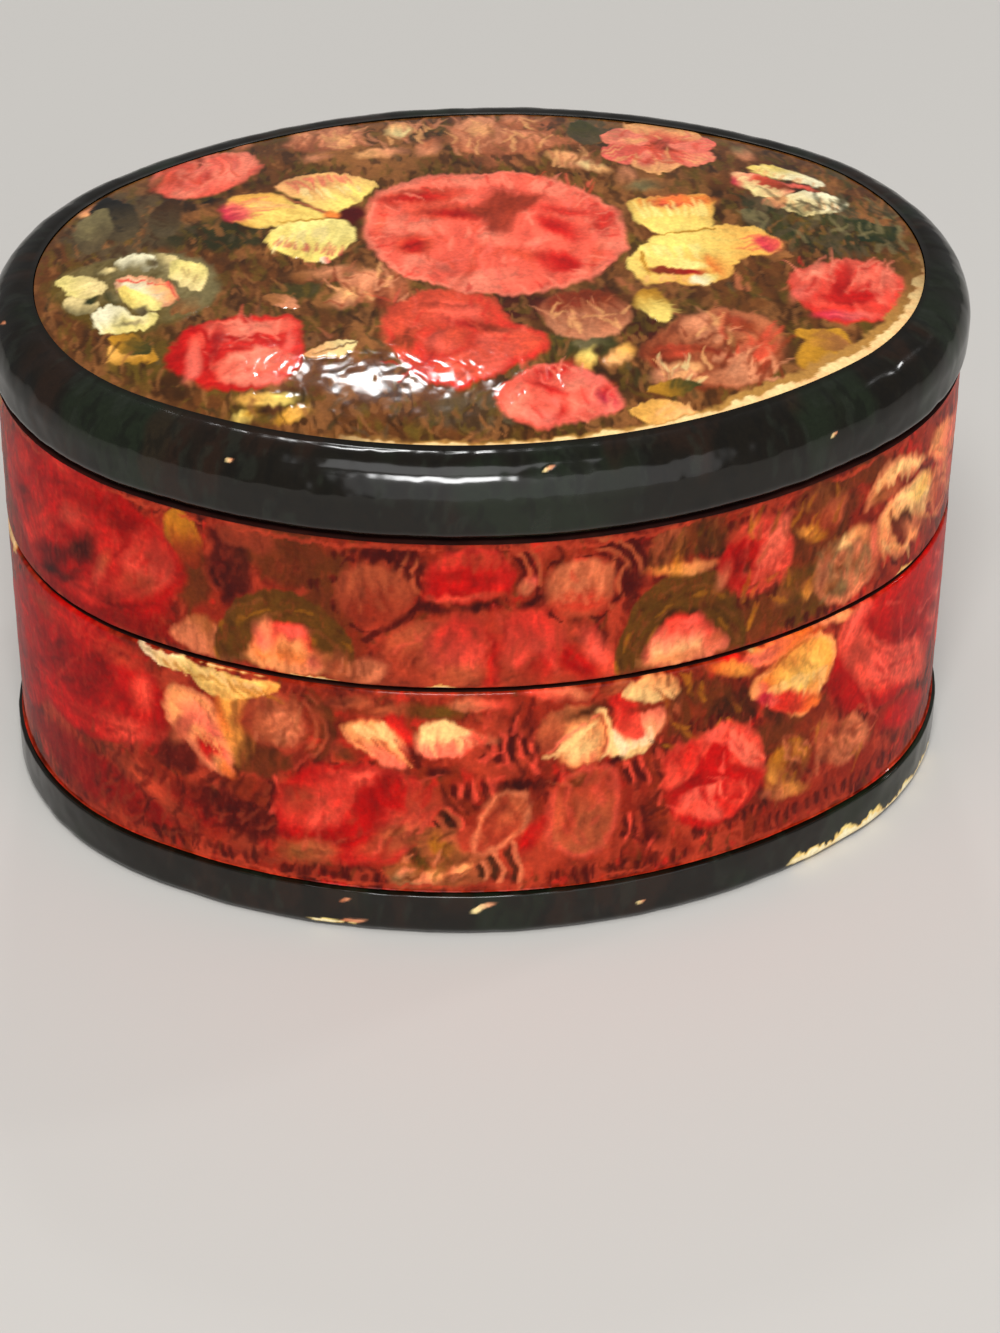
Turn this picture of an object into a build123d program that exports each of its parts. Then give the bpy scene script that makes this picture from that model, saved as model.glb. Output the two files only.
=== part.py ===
"""Oval papier-mache trinket box with a lift-off lid, in millimetres.

The box stands on z = 0 with its long axis along X. Its two walls are rings cut from one oval
tube. The base wall stands on a bottom board inside a foot moulding, and a collar glued inside
it stands proud of the seam. The lid wall slips over that collar and carries a crowned top
board, which a bullnose rim moulding holds down by its flange.
"""

import os
from math import atan2, degrees, hypot

from build123d import *

# The oval, measured on the outer face of both walls
wall_half_length = 25.7
wall_half_width = 18.9
wall_thickness = 1.8

# Heights, from the ground up
foot_height = 2.9
base_wall_height = 13.2
seam_gap = 0.2
lid_wall_height = 9.1
rim_height = 4.3

# Collar: the part glued inside the base wall, and the lip that the lid slips over
collar_thickness = 1.0
collar_depth = 6.0
collar_rise = 5.0
slip_clearance = 0.25

# Boards and mouldings
glue_line = 0.05
moulding_seat = 1.2
foot_proud = 0.3
foot_recess = 0.4
rim_proud = 0.3
rim_face = 2.6
flange_thickness = 1.7
board_crown = 0.9
crown_shoulder = 9.0

# The bullnose, and edges broken with a file
rim_upper_round = 2.3
rim_lower_break = 0.6
foot_lower_break = 0.6
wall_edge_break = 0.25
wall_lead_in = 0.3
collar_lead_in = 0.3
collar_edge_break = 0.2
foot_edge_break = 0.2
board_edge_break = 0.2

# Levels and insets that follow from the sizes above
seam_level = foot_height + base_wall_height
lid_level = seam_level + seam_gap
rim_level = lid_level + lid_wall_height
field_level = rim_level + rim_height
crown_level = field_level + board_crown
field_inset = rim_face - rim_proud

# The oval is laid out as a former is, with a compass: an arc round each end and an arc along
# each side, tangent where they meet. Ovals inside or outside it keep the same four centres.
diagonal = hypot(wall_half_length, wall_half_width)
difference = wall_half_length - wall_half_width
end_radius = diagonal * (diagonal - difference) / (2 * wall_half_length)
side_radius = diagonal * (diagonal + difference) / (2 * wall_half_width)
end_centre = wall_half_length - end_radius
side_centre = side_radius - wall_half_width
join_angle = degrees(atan2(side_centre, end_centre))


def oval_line(inset, level=0):
    """The closed line of the oval that lies this far inside the walls' outer face."""
    end_sweep = 2 * join_angle
    side_sweep = 180 - end_sweep
    with BuildLine(Plane.XY.offset(level)) as outline:
        CenterArc((end_centre, 0), end_radius - inset, -join_angle, end_sweep)
        CenterArc((0, -side_centre), side_radius - inset, join_angle, side_sweep)
        CenterArc((-end_centre, 0), end_radius - inset, 180 - join_angle, end_sweep)
        CenterArc((0, side_centre), side_radius - inset, 180 + join_angle, side_sweep)
    return outline


def draw_oval(inset, mode=Mode.ADD):
    """Fills that oval in the sketch that is open."""
    make_face(oval_line(inset).edges(), mode=mode)


def rim_edges(part, top, outer=True):
    """The outer or inner edges of a part's highest or lowest flat face."""
    face = part.faces().filter_by(Plane.XY).sort_by(Axis.Z)[-1 if top else 0]
    wire = face.outer_wire() if outer else face.inner_wires()[0]
    return wire.edges()


def make_wall(bottom_level, height, seam_at_top):
    """One wall ring. Its seam edge is broken outside and has a lead-in inside."""
    with BuildPart() as wall:
        with BuildSketch(Plane.XY.offset(bottom_level)):
            draw_oval(0)
            draw_oval(wall_thickness, mode=Mode.SUBTRACT)
        extrude(amount=height)
        chamfer(rim_edges(wall.part, seam_at_top), wall_edge_break)
        chamfer(rim_edges(wall.part, seam_at_top, outer=False), wall_lead_in)
    return wall


def make_collar():
    """The locating strip: full size where it is glued, relieved where the lid slips over it."""
    collar_foot = Plane.XY.offset(seam_level - collar_depth)
    with BuildPart() as collar:
        with BuildSketch(collar_foot):
            draw_oval(wall_thickness + glue_line)
        extrude(amount=collar_depth - wall_lead_in)
        with BuildSketch(collar_foot):
            draw_oval(wall_thickness + slip_clearance)
        extrude(amount=collar_depth + collar_rise)
        chamfer(rim_edges(collar.part, top=True), collar_lead_in)
        with BuildSketch(collar_foot):
            draw_oval(wall_thickness + collar_thickness)
        extrude(amount=collar_depth + collar_rise, mode=Mode.SUBTRACT)
        chamfer(rim_edges(collar.part, top=True, outer=False), collar_edge_break)
    return collar


def make_base_board():
    """The flat bottom board, held a little off the ground inside the foot moulding."""
    with BuildPart() as board:
        with BuildSketch(Plane.XY.offset(foot_recess)):
            draw_oval(moulding_seat + glue_line)
        extrude(amount=foot_height - foot_recess)
        chamfer(rim_edges(board.part, top=False), board_edge_break)
    return board


def make_foot_moulding():
    """The bead round the bottom board, which the box stands on."""
    with BuildPart() as foot:
        with BuildSketch():
            draw_oval(-foot_proud)
            draw_oval(moulding_seat, mode=Mode.SUBTRACT)
        extrude(amount=foot_height)
        chamfer(rim_edges(foot.part, top=False), foot_lower_break)
        chamfer(rim_edges(foot.part, top=True), foot_edge_break)
    return foot


def make_lid_board():
    """The top board: a flange on the lid wall, and above it the crowned field that shows.

    The crown is level in the middle and rolls off evenly all round, along an arc that is
    swept round the field's edge.
    """
    field_edge = field_inset + glue_line
    edge_reach = wall_half_length - field_edge
    with BuildPart() as board:
        with BuildSketch(Plane.XY.offset(rim_level)):
            draw_oval(field_edge)
        extrude(amount=rim_height + board_crown)
        with BuildSketch(Plane.XZ):
            with BuildLine():
                roll_start = (edge_reach - crown_shoulder, crown_level)
                TangentArc(roll_start, (edge_reach, field_level), tangent=(1, 0))
                Polyline((edge_reach, field_level), (wall_half_length, crown_level), roll_start)
            make_face()
        sweep(path=oval_line(field_edge, field_level).wires()[0], mode=Mode.SUBTRACT)
        with BuildSketch(Plane.XY.offset(rim_level)):
            draw_oval(moulding_seat + glue_line)
        extrude(amount=flange_thickness)
    return board


def make_rim_moulding():
    """The bullnose ring round the top board. Its rebate fits over the board's flange."""
    with BuildPart() as rim:
        with BuildSketch(Plane.XY.offset(rim_level)):
            draw_oval(-rim_proud)
            draw_oval(field_inset, mode=Mode.SUBTRACT)
        extrude(amount=rim_height)
        fillet(rim_edges(rim.part, top=True), rim_upper_round)
        chamfer(rim_edges(rim.part, top=False), rim_lower_break)
        with BuildSketch(Plane.XY.offset(rim_level)):
            draw_oval(moulding_seat)
        extrude(amount=flange_thickness + glue_line, mode=Mode.SUBTRACT)
    return rim


def write(name, piece):
    """Labels one finished piece and writes its STEP file."""
    piece.part.label = name
    export_step(piece.part, f"parts/{name}.step")


os.makedirs("parts", exist_ok=True)
write("base_board", make_base_board())
write("foot_moulding", make_foot_moulding())
write("base_wall", make_wall(foot_height, base_wall_height, seam_at_top=True))
write("collar", make_collar())
write("lid_wall", make_wall(lid_level, lid_wall_height, seam_at_top=False))
write("lid_board", make_lid_board())
write("rim_moulding", make_rim_moulding())
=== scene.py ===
"""Looks of the painted trinket box: its painting, lacquer, light, floor and camera.

The painting is laid on in code, as a painter would: a ground, then leaves, flowers and hatching,
each at its place on a chart in millimetres. The field's chart is its plan. The walls' chart runs
round the oval from the middle of the front, and up. Paint goes to a colour attribute of a fine
mesh and also thickens it a little. Lengths are in millimetres until a mesh is made.
"""

from math import radians

import bpy
import numpy as np
from mathutils import Matrix, Vector


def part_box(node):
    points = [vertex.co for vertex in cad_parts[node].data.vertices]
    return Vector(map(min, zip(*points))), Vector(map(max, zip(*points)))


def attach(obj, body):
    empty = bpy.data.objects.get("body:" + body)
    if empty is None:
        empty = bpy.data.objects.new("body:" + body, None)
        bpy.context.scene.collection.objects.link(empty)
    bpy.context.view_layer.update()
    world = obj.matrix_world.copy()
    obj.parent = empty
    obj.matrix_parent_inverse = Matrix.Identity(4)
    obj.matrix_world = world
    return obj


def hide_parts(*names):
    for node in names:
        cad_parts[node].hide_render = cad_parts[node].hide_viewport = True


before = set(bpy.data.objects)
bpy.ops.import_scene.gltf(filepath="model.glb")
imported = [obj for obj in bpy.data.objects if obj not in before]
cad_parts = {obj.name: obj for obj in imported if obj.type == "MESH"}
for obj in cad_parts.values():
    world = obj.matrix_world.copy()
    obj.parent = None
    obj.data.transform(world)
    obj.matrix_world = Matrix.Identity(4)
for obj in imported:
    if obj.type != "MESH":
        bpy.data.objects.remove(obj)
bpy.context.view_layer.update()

MILLIMETRE = 0.001


def box_mm(node):
    """The lowest and highest corners of a CAD node, in millimetres."""
    low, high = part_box(node)
    return np.array(low) / MILLIMETRE, np.array(high) / MILLIMETRE


# Sizes taken from the frame
base_low, base_high = box_mm("base_wall")
lid_low, lid_high = box_mm("lid_wall")
rim_low, rim_high = box_mm("rim_moulding")
board_low, board_high = box_mm("lid_board")
foot_low, foot_high = box_mm("foot_moulding")
half_length = base_high[0]
half_width = base_high[1]
rim_proud = rim_high[0] - half_length
foot_proud = foot_high[0] - half_length

# Sizes that the frame's boxes don't give
wall_thickness = 1.8
edge_break = 0.25
lead_in = 0.3
moulding_seat = 1.2
glue_line = 0.05
rim_inner_inset = 2.3
rim_top_round = 2.3
rim_foot_round = 0.9
foot_round = 0.7
foot_top_round = 0.2
flange_thickness = 1.7
crown_shoulder = 9.0
field_inset = rim_inner_inset + glue_line

# A length or share too small to matter
tiny = 1e-9

# The oval: an arc round each end and an arc along each side
diagonal = np.hypot(half_length, half_width)
difference = half_length - half_width
end_radius = diagonal * (diagonal - difference) / (2 * half_length)
side_radius = diagonal * (diagonal + difference) / (2 * half_width)
end_centre = half_length - end_radius
side_centre = side_radius - half_width
join_angle = np.arctan2(side_centre, end_centre)
side_run = side_radius * (np.pi / 2 - join_angle)
end_run = end_radius * 2 * join_angle
girth = 4 * side_run + 2 * end_run


def oval_points(along, inset):
    """Points of the oval that far round from the middle of the front, and that far inside it."""
    round_ = (np.asarray(along, float) + girth / 2) % girth - girth / 2
    run = np.abs(round_)
    front, end = run <= side_run, run <= side_run + end_run
    angle = np.where(front, run / side_radius - np.pi / 2, np.where(
        end, (run - side_run) / end_radius - join_angle,
        (run - side_run - end_run) / side_radius + join_angle))
    radius = np.where(end & ~front, end_radius, side_radius) - inset
    centre_x = np.where(end & ~front, end_centre, 0)
    centre_y = np.where(end & ~front, 0, np.where(front, side_centre, -side_centre))
    x = (centre_x + radius * np.cos(angle)) * np.where(round_ < 0, -1, 1)
    return x, centre_y + radius * np.sin(angle)


def depth_inside(x, y):
    """How far a point of the plan lies inside the walls' outer face."""
    x, y = np.abs(x), np.abs(y)
    beside_end = np.arctan2(y, np.maximum(x - end_centre, tiny)) < join_angle
    to_end = end_radius - np.hypot(x - end_centre, y)
    to_side = side_radius - np.hypot(x, y + side_centre)
    return np.where(beside_end & (x > end_centre), to_end, to_side)


# Paint, colour and noise

def srgb(red, green, blue):
    """A colour from its 0 to 255 display values, in linear light."""
    value = np.array((red, green, blue), float) / 255
    return np.where(value <= 0.04045, value / 12.92, ((value + 0.055) / 1.055) ** 2.4)


PAINT = {name: srgb(*value) for name, value in {
    "coral": (240, 102, 80), "salmon": (255, 142, 114), "pink": (246, 118, 100),
    "crimson": (190, 18, 16), "scarlet": (220, 52, 40), "wine": (84, 14, 14),
    "magenta": (212, 52, 78), "vermilion": (222, 84, 56), "orange": (242, 140, 62),
    "yellow": (255, 224, 122), "gold": (242, 180, 88), "ochre": (190, 136, 40),
    "lemon": (253, 232, 144), "cream": (252, 226, 158), "ivory": (255, 244, 204),
    "peach": (250, 182, 118), "blush": (226, 148, 106), "dusty": (186, 108, 70),
    "rosewood": (150, 72, 46), "tan": (154, 100, 54), "brown": (110, 64, 26),
    "umber": (66, 38, 12), "olive": (108, 84, 26), "moss": (72, 68, 28),
    "bottle": (36, 48, 22), "slate": (94, 78, 52), "steel": (134, 120, 80),
    "black": (18, 14, 8), "maroon": (70, 14, 8), "brick": (150, 52, 28),
    "terracotta": (186, 80, 52), "rust": (140, 58, 26), "oxblood": (84, 12, 5),
    "garnet": (150, 6, 4), "ruby": (196, 32, 26), "madder": (204, 66, 52), "rosy": (218, 98, 78),
}.items()}

# Painted reflection: how much redder the walls' colours are than the field's, a red cast that stands
# for red surroundings reflected in the walls
WALL_RED_REFLECTION = np.array((1.08, 0.82, 0.76))

# Powers that deepen the colours of the two paintings with age
wall_depth = 1.22
field_depth = 1.1

# The noise's lattice: odd factors that scatter whole numbers over 32 bits
column_factor = 374761393
row_factor = 668265263
seed_factor = 974634777
mixing_factor = 1274126177
word = 0xFFFFFFFF
half_word = 0xFFFF

# Added to a canvas's seed, so that each kind of unevenness differs from the others. The border's
# is a seed of its own.
line_seed = 21
wear_seed = 31
stroke_seed = 50
petal_seed = 51
wash_seed = 60
lump_seed = 70
age_seed = 80
border_seed = 311

# How far the painter's strokes stray from the chart, and how wide and long the bristles' marks are
wobble_sizes = (1.3, 1.3, 0.4, 0.4)
broad_wobble = 0.34
fine_wobble = 0.14
fine_bristle = 0.2
broad_bristle = 0.45
bristle_stretch = 5


def colour_of(paint):
    """A paint's colour, given its name or the colour itself."""
    return PAINT[paint] if isinstance(paint, str) else paint


def axes(turn):
    """The cosine and sine of an angle in degrees."""
    return np.cos(radians(turn)), np.sin(radians(turn))


def smooth(t):
    """From 0 to 1 along a soft S."""
    t = np.clip(t, 0, 1)
    return t * t * (3 - 2 * t)


def corner_value(column, row, seed):
    """A repeatable random number from 0 to 1 for a corner of the noise's lattice."""
    n = column.astype(np.int64) * column_factor + row.astype(np.int64) * row_factor
    n = (n + seed * seed_factor) & word
    n = (n ^ (n >> 13)) * mixing_factor & word
    return ((n ^ (n >> 16)) & half_word) / half_word


def noise(u, v, size, seed, span=0):
    """Soft lumps from 0 to 1, about that many mm across. They join up round a span."""
    count = max(1, round(span / size)) if span else 0
    x = u / span * count if span else u / size
    y = v / size
    column, row = np.floor(x), np.floor(y)
    across, up = smooth(x - column), smooth(y - row)
    left, right = (column % count, (column + 1) % count) if span else (column, column + 1)
    low = corner_value(left, row, seed) * (1 - across) + corner_value(right, row, seed) * across
    high = corner_value(left, row + 1, seed) * (1 - across)
    high = high + corner_value(right, row + 1, seed) * across
    return low * (1 - up) + high * up


class Canvas:
    """Colour and thickness of the paint at a set of points of a chart, in millimetres."""

    def __init__(self, u, v, ground, seed, span=0, fray=0.45):
        self.span = span
        self.seed = seed
        self.true_u, self.true_v = u, v
        self.everywhere = np.arange(len(u))
        wobble = [noise(u, v, size, seed + k, span) - 0.5 for k, size in enumerate(wobble_sizes)]
        stretched = v / bristle_stretch
        bristle = 0.6 * noise(u, stretched, fine_bristle, seed + 5, span)
        bristle = bristle + 0.4 * noise(u, stretched, broad_bristle, seed + 6, span)
        self.u = u + broad_wobble * wobble[0] + fine_wobble * wobble[2]
        self.v = v + broad_wobble * wobble[1] + fine_wobble * wobble[3] + fray * (bristle - 0.5)
        self.colour = np.tile(PAINT[ground], (len(u), 1))
        self.relief = np.zeros(len(u))
        self.random = np.random.default_rng(seed)

    def near(self, at, reach, turn=0):
        """The points near a place, and their places in axes turned by that many degrees."""
        du, dv = self.u - at[0], self.v - at[1]
        if self.span:
            du = (du + self.span / 2) % self.span - self.span / 2
        index = np.flatnonzero((np.abs(du) < reach) & (np.abs(dv) < reach))
        du, dv = du[index], dv[index]
        c, s = axes(turn)
        return index, du * c + dv * s, dv * c - du * s

    def lay(self, index, cover, paint, lift=0.0):
        """Lays paint over the points, as strongly as cover says."""
        cover = np.clip(cover, 0, 1)
        self.colour[index] += cover[:, None] * (colour_of(paint) - self.colour[index])
        if lift:
            self.relief[index] += cover * (lift - self.relief[index])


def blend(first, second, share):
    """Two paints mixed, with that share of the second."""
    share = np.asarray(share, float)
    share = share[..., None] if share.ndim else share
    return colour_of(first) * (1 - share) + colour_of(second) * share


# Strokes

def bristles(along, across, seed):
    """Fine and broad streaks along a stroke, around 0."""
    fine = noise(along * 0.22, across, 0.22, seed)
    return 0.45 * fine + 0.55 * noise(along * 0.3, across, 0.55, seed + 1) - 0.5


def dab(canvas, at, size, paint, turn=0, to=None, soft=0.16, lift=0.012, streak=0.3, cover=1.0):
    """An oval touch of the brush, frayed by its bristles. It may shade into another paint."""
    index, x, y = canvas.near(at, max(size) + soft + 0.2, turn)
    bristle = bristles(x + 4 * at[0], y, canvas.seed + stroke_seed)
    edge = (np.hypot(x / size[0], y / size[1]) - 1) * min(size) + min(0.3 * min(size), 0.3) * bristle
    share = smooth(0.5 + x / size[0] / 2 + bristle * 0.5)
    colour = blend(paint, paint if to is None else to, share)
    colour = colour * (1 + streak * bristle[:, None])
    canvas.lay(index, smooth(0.5 - edge / soft) * cover, colour, lift)


def touches(canvas, rows, soft=0.35, streak=0.6):
    """Several touches, each with its place, half sizes, turn and two paints."""
    for u, v, half_long, half_wide, turn, paint, to in rows:
        dab(canvas, (u, v), (half_long, half_wide), paint, turn, to, soft, 0.02, streak)


def outline_distance(x, y, points):
    """How far a place lies outside a closed smooth line through the points, or inside below 0."""
    before, after, beyond = (np.roll(points, k, 0) for k in (1, -1, -2))
    pieces_between = 5
    t = np.arange(pieces_between)[:, None, None] / pieces_between
    line = points + 0.5 * t * (after - before)
    line = line + 0.5 * t ** 2 * (2 * before - 5 * points + 4 * after - beyond)
    line = line + 0.5 * t ** 3 * (3 * points - before - 3 * after + beyond)
    line = line.transpose(1, 0, 2).reshape(-1, 2)
    nearest = np.full(x.shape, np.inf)
    inside = np.zeros(x.shape, bool)
    for start, end in zip(line, np.roll(line, -1, 0)):
        run = end - start
        dx, dy = x - start[0], y - start[1]
        share = np.clip((dx * run[0] + dy * run[1]) / max(run @ run, tiny), 0, 1)
        nearest = np.minimum(nearest, (dx - share * run[0]) ** 2 + (dy - share * run[1]) ** 2)
        rise = run[1] if abs(run[1]) > tiny else tiny
        inside ^= ((start[1] > y) != (end[1] > y)) & (dx < dy * run[0] / rise)
    return np.where(inside, -1, 1) * np.sqrt(nearest)


def shape(canvas, points, paint, to=None, turn=0, edge=None, soft=0.22, streak=0.5, lift=0.018):
    """A petal with an outline through the points, streaked and shaded along a direction."""
    points = np.array(points, float)
    low, high = points.min(0) - 0.5, points.max(0) + 0.5
    middle = (low + high) / 2
    index, x, y = canvas.near(middle, (high - low).max() / 2)
    off = outline_distance(x, y, points - middle)
    c, s = axes(turn)
    along, across = x * c + y * s, y * c - x * s
    bristle = bristles(along + 4 * middle[0], across, canvas.seed + stroke_seed)
    half = np.ptp((points - middle) @ (c, s)) / 2
    colour = blend(paint, paint if to is None else to, smooth(0.5 + along / half / 2 + bristle * 0.6))
    if edge:
        colour = blend(colour, edge, smooth((off + 0.5) / 0.35) * 0.75)
    colour = colour * (1 + streak * bristle[:, None])
    canvas.lay(index, smooth(0.5 - (off + 0.4 * bristle) / soft), colour, lift)


def comma(canvas, at, length, width, turn, paint, bend=0.5, lift=0.01, cover=1.0):
    """A tapering stroke: a round head, and a tail that curves away."""
    index, x, y = canvas.near(at, length + width, 0)
    c, s = axes(turn)
    x, y = x * c + y * s, y * c - x * s
    t = x / length
    y = y - bend * length * t * t
    half = width * np.sqrt(np.clip(1 - t, 0, 1)) * np.clip(0.75 + t, 0.4, 1)
    edge = np.where(t < 0, np.hypot(x, y) - width * 0.75, np.abs(y) - half)
    edge = np.where(t > 1, 1.0, edge)
    canvas.lay(index, smooth(0.5 - edge / 0.2) * cover, paint, lift)


def hatch(canvas, start, end, count, length, turn, paint, width=0.12, bend=0.1, cover=0.65):
    """Uneven short strokes along a line, as shading is hatched."""
    for k in range(count):
        share = (k + canvas.random.uniform(0.1, 0.9)) / count
        at = (start[0] + (end[0] - start[0]) * share, start[1] + (end[1] - start[1]) * share)
        size = length * canvas.random.uniform(0.5, 1.3)
        way = turn + canvas.random.uniform(-12, 12)
        comma(canvas, at, size, width * canvas.random.uniform(0.7, 1.2), way, paint, bend, 0.02, cover)


def petal(canvas, at, length, width, turn, root, tip, fringe=None, broad=1.5):
    """A petal or leaf that grows from a place. A third paint may be hatched in from its tip."""
    index, x, y = canvas.near(at, length * 1.15 + 0.3, turn)
    t = np.clip(x / length, 0, 1)
    bristle = bristles(x + 4 * at[0], y + at[1], canvas.seed + petal_seed)
    half = width / 2 * np.sin(np.pi * t ** broad) ** 0.6
    edge = np.maximum(np.abs(y) - half, np.abs(x - length / 2) - length / 2) + 0.3 * bristle
    colour = blend(root, tip, smooth(t * 1.2 - 0.1 + bristle * 0.35)) * (1 + 0.5 * bristle[:, None])
    canvas.lay(index, smooth(0.5 - edge / 0.2), colour, 0.016)
    if fringe:
        c, s = axes(turn)
        tip_at = np.array(at) + 0.88 * length * np.array((c, s))
        side = 0.32 * width * np.array((-s, c))
        hatch(canvas, tip_at - side, tip_at + side, 5, length * 0.4, turn + 180, fringe, 0.1)


def fan(canvas, root, reach, spread, turn, dark, body, light, count=14, lift=0.018):
    """A flower seen from the side: a fan, hatched light from its lip and dark from its root."""
    index, x, y = canvas.near(root, reach * 1.25 + 0.3, turn)
    far, angle = np.hypot(x, y), np.degrees(np.arctan2(y, x))
    share = angle / spread
    seed = canvas.seed + round(root[0] * 7)
    uneven = noise(angle * reach / 50, np.zeros_like(angle), 0.8, seed) - 0.5
    lip = reach * (0.95 - 0.25 * np.clip(share, -1, 1) ** 2 + 0.2 * uneven)
    t = far / lip
    bristle = bristles(far, angle * reach / 50, seed + 1)
    colour = blend(dark, body, smooth(t * 1.7 - 0.1)) * (1 + 0.5 * bristle[:, None])
    cover = smooth(0.5 - (far - lip) / 0.3) * smooth((1 - np.abs(share)) * spread / 6)
    canvas.lay(index, cover, colour, lift)
    for k in range(count):
        lean = canvas.random.uniform(-0.85, 0.85)
        c, s = axes(spread * lean)
        start = reach * (0.9 - 0.2 * lean ** 2)
        ct, st = axes(turn)
        at = (root[0] + start * (c * ct - s * st), root[1] + start * (c * st + s * ct))
        comma(canvas, at, reach * canvas.random.uniform(0.3, 0.6), 0.12, turn + spread * lean + 180,
              light if k % 4 else body, 0.04, lift + 0.004, 0.7)


def hoop(canvas, at, radii, width, paint, start=0, end=360, turn=0, lift=0.01, cover=1.0):
    """An arc of an oval line, from one angle to another."""
    index, x, y = canvas.near(at, max(radii) + width, turn)
    angle = np.degrees(np.arctan2(y / radii[1], x / radii[0])) % 360
    edge = np.abs(np.hypot(x / radii[0], y / radii[1]) - 1) * min(radii) - width / 2
    sweep = end - start
    ends = smooth(((angle - start) % 360) / 14) * smooth((sweep - (angle - start) % 360) / 14)
    canvas.lay(index, smooth(0.5 - edge / 0.16) * (ends if sweep < 360 else 1) * cover, paint, lift)


def curls(canvas, at, radii, count):
    """Dark crescents set round a motif."""
    for k in range(count):
        angle = 360 * (k + canvas.random.uniform(0.3, 0.7)) / count
        c, s = axes(angle)
        root = (at[0] + radii[0] * c, at[1] + radii[1] * s)
        length = canvas.random.uniform(0.5, 0.9)
        comma(canvas, root, length, 0.17, angle + 60, "oxblood", 0.8, 0.004, 0.9)


def scatter(canvas, low, high, count, length, paints, width=0.1, cover=0.8, turn=90):
    """Small upright touches strewn over a part of the ground."""
    for _ in range(count):
        at = (canvas.random.uniform(low[0], high[0]), canvas.random.uniform(low[1], high[1]))
        paint = paints[canvas.random.integers(len(paints))]
        size = length * canvas.random.uniform(0.6, 1.5)
        way = turn + canvas.random.normal(0, 25)
        comma(canvas, at, size, width, way, paint, canvas.random.uniform(-0.4, 0.4), 0.006, cover)


def washes(canvas, rows):
    """Broad soft patches of the ground, each with its place, half sizes and paint."""
    for u, v, half_wide, half_high, paint in rows:
        index, x, y = canvas.near((u, v), max(half_wide, half_high) * 1.3)
        patch = noise(x, y, 0.9, canvas.seed + wash_seed) - 0.5
        edge = np.hypot(x / half_wide, y / half_high) + 0.5 * patch
        canvas.lay(index, smooth((1.15 - edge) / 0.5) * 0.85, paint)


# Motifs

def rose(canvas, at, size, turn=0, light="salmon", body="coral", dark="crimson", seed=0):
    """A full rose: cupped, hatched petals with dark gaps between them."""
    half_u, half_v = size
    c, s = axes(turn)

    def place(x, y):
        return at[0] + (x * c - y * s) * half_u, at[1] + (x * s + y * c) * half_v

    least = min(size)
    dab(canvas, at, (half_u * 0.95, half_v * 0.92), blend(body, dark, 0.6), 0, soft=0.4, lift=0.01)
    petal_count, rim_count = 7, 9
    for k in range(petal_count):
        angle = turn + 51 * k + 25 * np.sin(seed + k * 2.1)
        x, y = (0.6 * part for part in axes(angle))
        paint = blend(body, light, 0.5 + 0.5 * np.sin(seed * 1.7 + k * 1.3))
        dab(canvas, place(x, y), (least * 0.44, least * 0.3), paint, turn + angle + 90,
            light, 0.3, 0.02, 0.7)
    dab(canvas, place(0.05, 0.12), (least * 0.42, least * 0.28), dark, turn + 20, body, 0.35)
    dab(canvas, place(-0.12, -0.16), (least * 0.36, least * 0.2), light, turn - 25, body, 0.3, 0.024)
    dab(canvas, place(0.16, 0.24), (least * 0.22, least * 0.12), body, turn + 40, light, 0.25)
    for k in range(rim_count):
        angle = 360 / rim_count * k + 20 * np.sin(k + seed)
        x, y = (0.86 * part for part in axes(angle))
        hatch(canvas, place(x, y), place(x * 0.9, y * 1.1), 2, least * 0.28, angle + 180, light, 0.1)


def leaf(canvas, at, length, width, turn, dark, light, vein=None):
    """A pointed leaf, lighter to one side of its vein."""
    petal(canvas, at, length, width, turn, dark, light, broad=0.9)
    if vein:
        comma(canvas, at, length * 0.85, 0.09, turn, vein, 0.0)


def mottle(canvas, paint, size, share, cover=0.8, stretch=1.7):
    """Soft upright touches of a paint, about that many mm wide, over a share of the canvas."""
    seed = canvas.random.integers(10000)
    u, v, span = canvas.u, canvas.v / stretch, canvas.span
    value = 0.6 * noise(u, v, size, seed, span) + 0.4 * noise(u, v, size * 0.4, seed + 1, span)
    touched = smooth((value - 0.5 - (0.5 - share) * 0.6) * 6 + 0.5)
    canvas.lay(canvas.everywhere, touched * cover, paint)


def weathered(canvas, depth):
    """Old paint's unevenness: thin and thick places in upright streaks, and deeper darks."""
    u, v, seed, span = canvas.u, canvas.v, canvas.seed + age_seed, canvas.span
    streaks = 0.5 * noise(u, v / 2.2, 0.3, seed, span) + 0.3 * noise(u, v / 1.6, 0.8, seed + 1, span)
    streaks += 0.2 * noise(u, v, 0.17, seed + 2, span) - 0.5
    cloud = noise(u, v, 2.2, seed + 3, span) - 0.5
    canvas.colour *= (1 + 0.5 * streaks + 0.3 * cloud)[:, None]
    canvas.colour = np.clip(canvas.colour, 0, None) ** depth
    canvas.relief += 0.006 * streaks


# The painting of the lid's field

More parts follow.
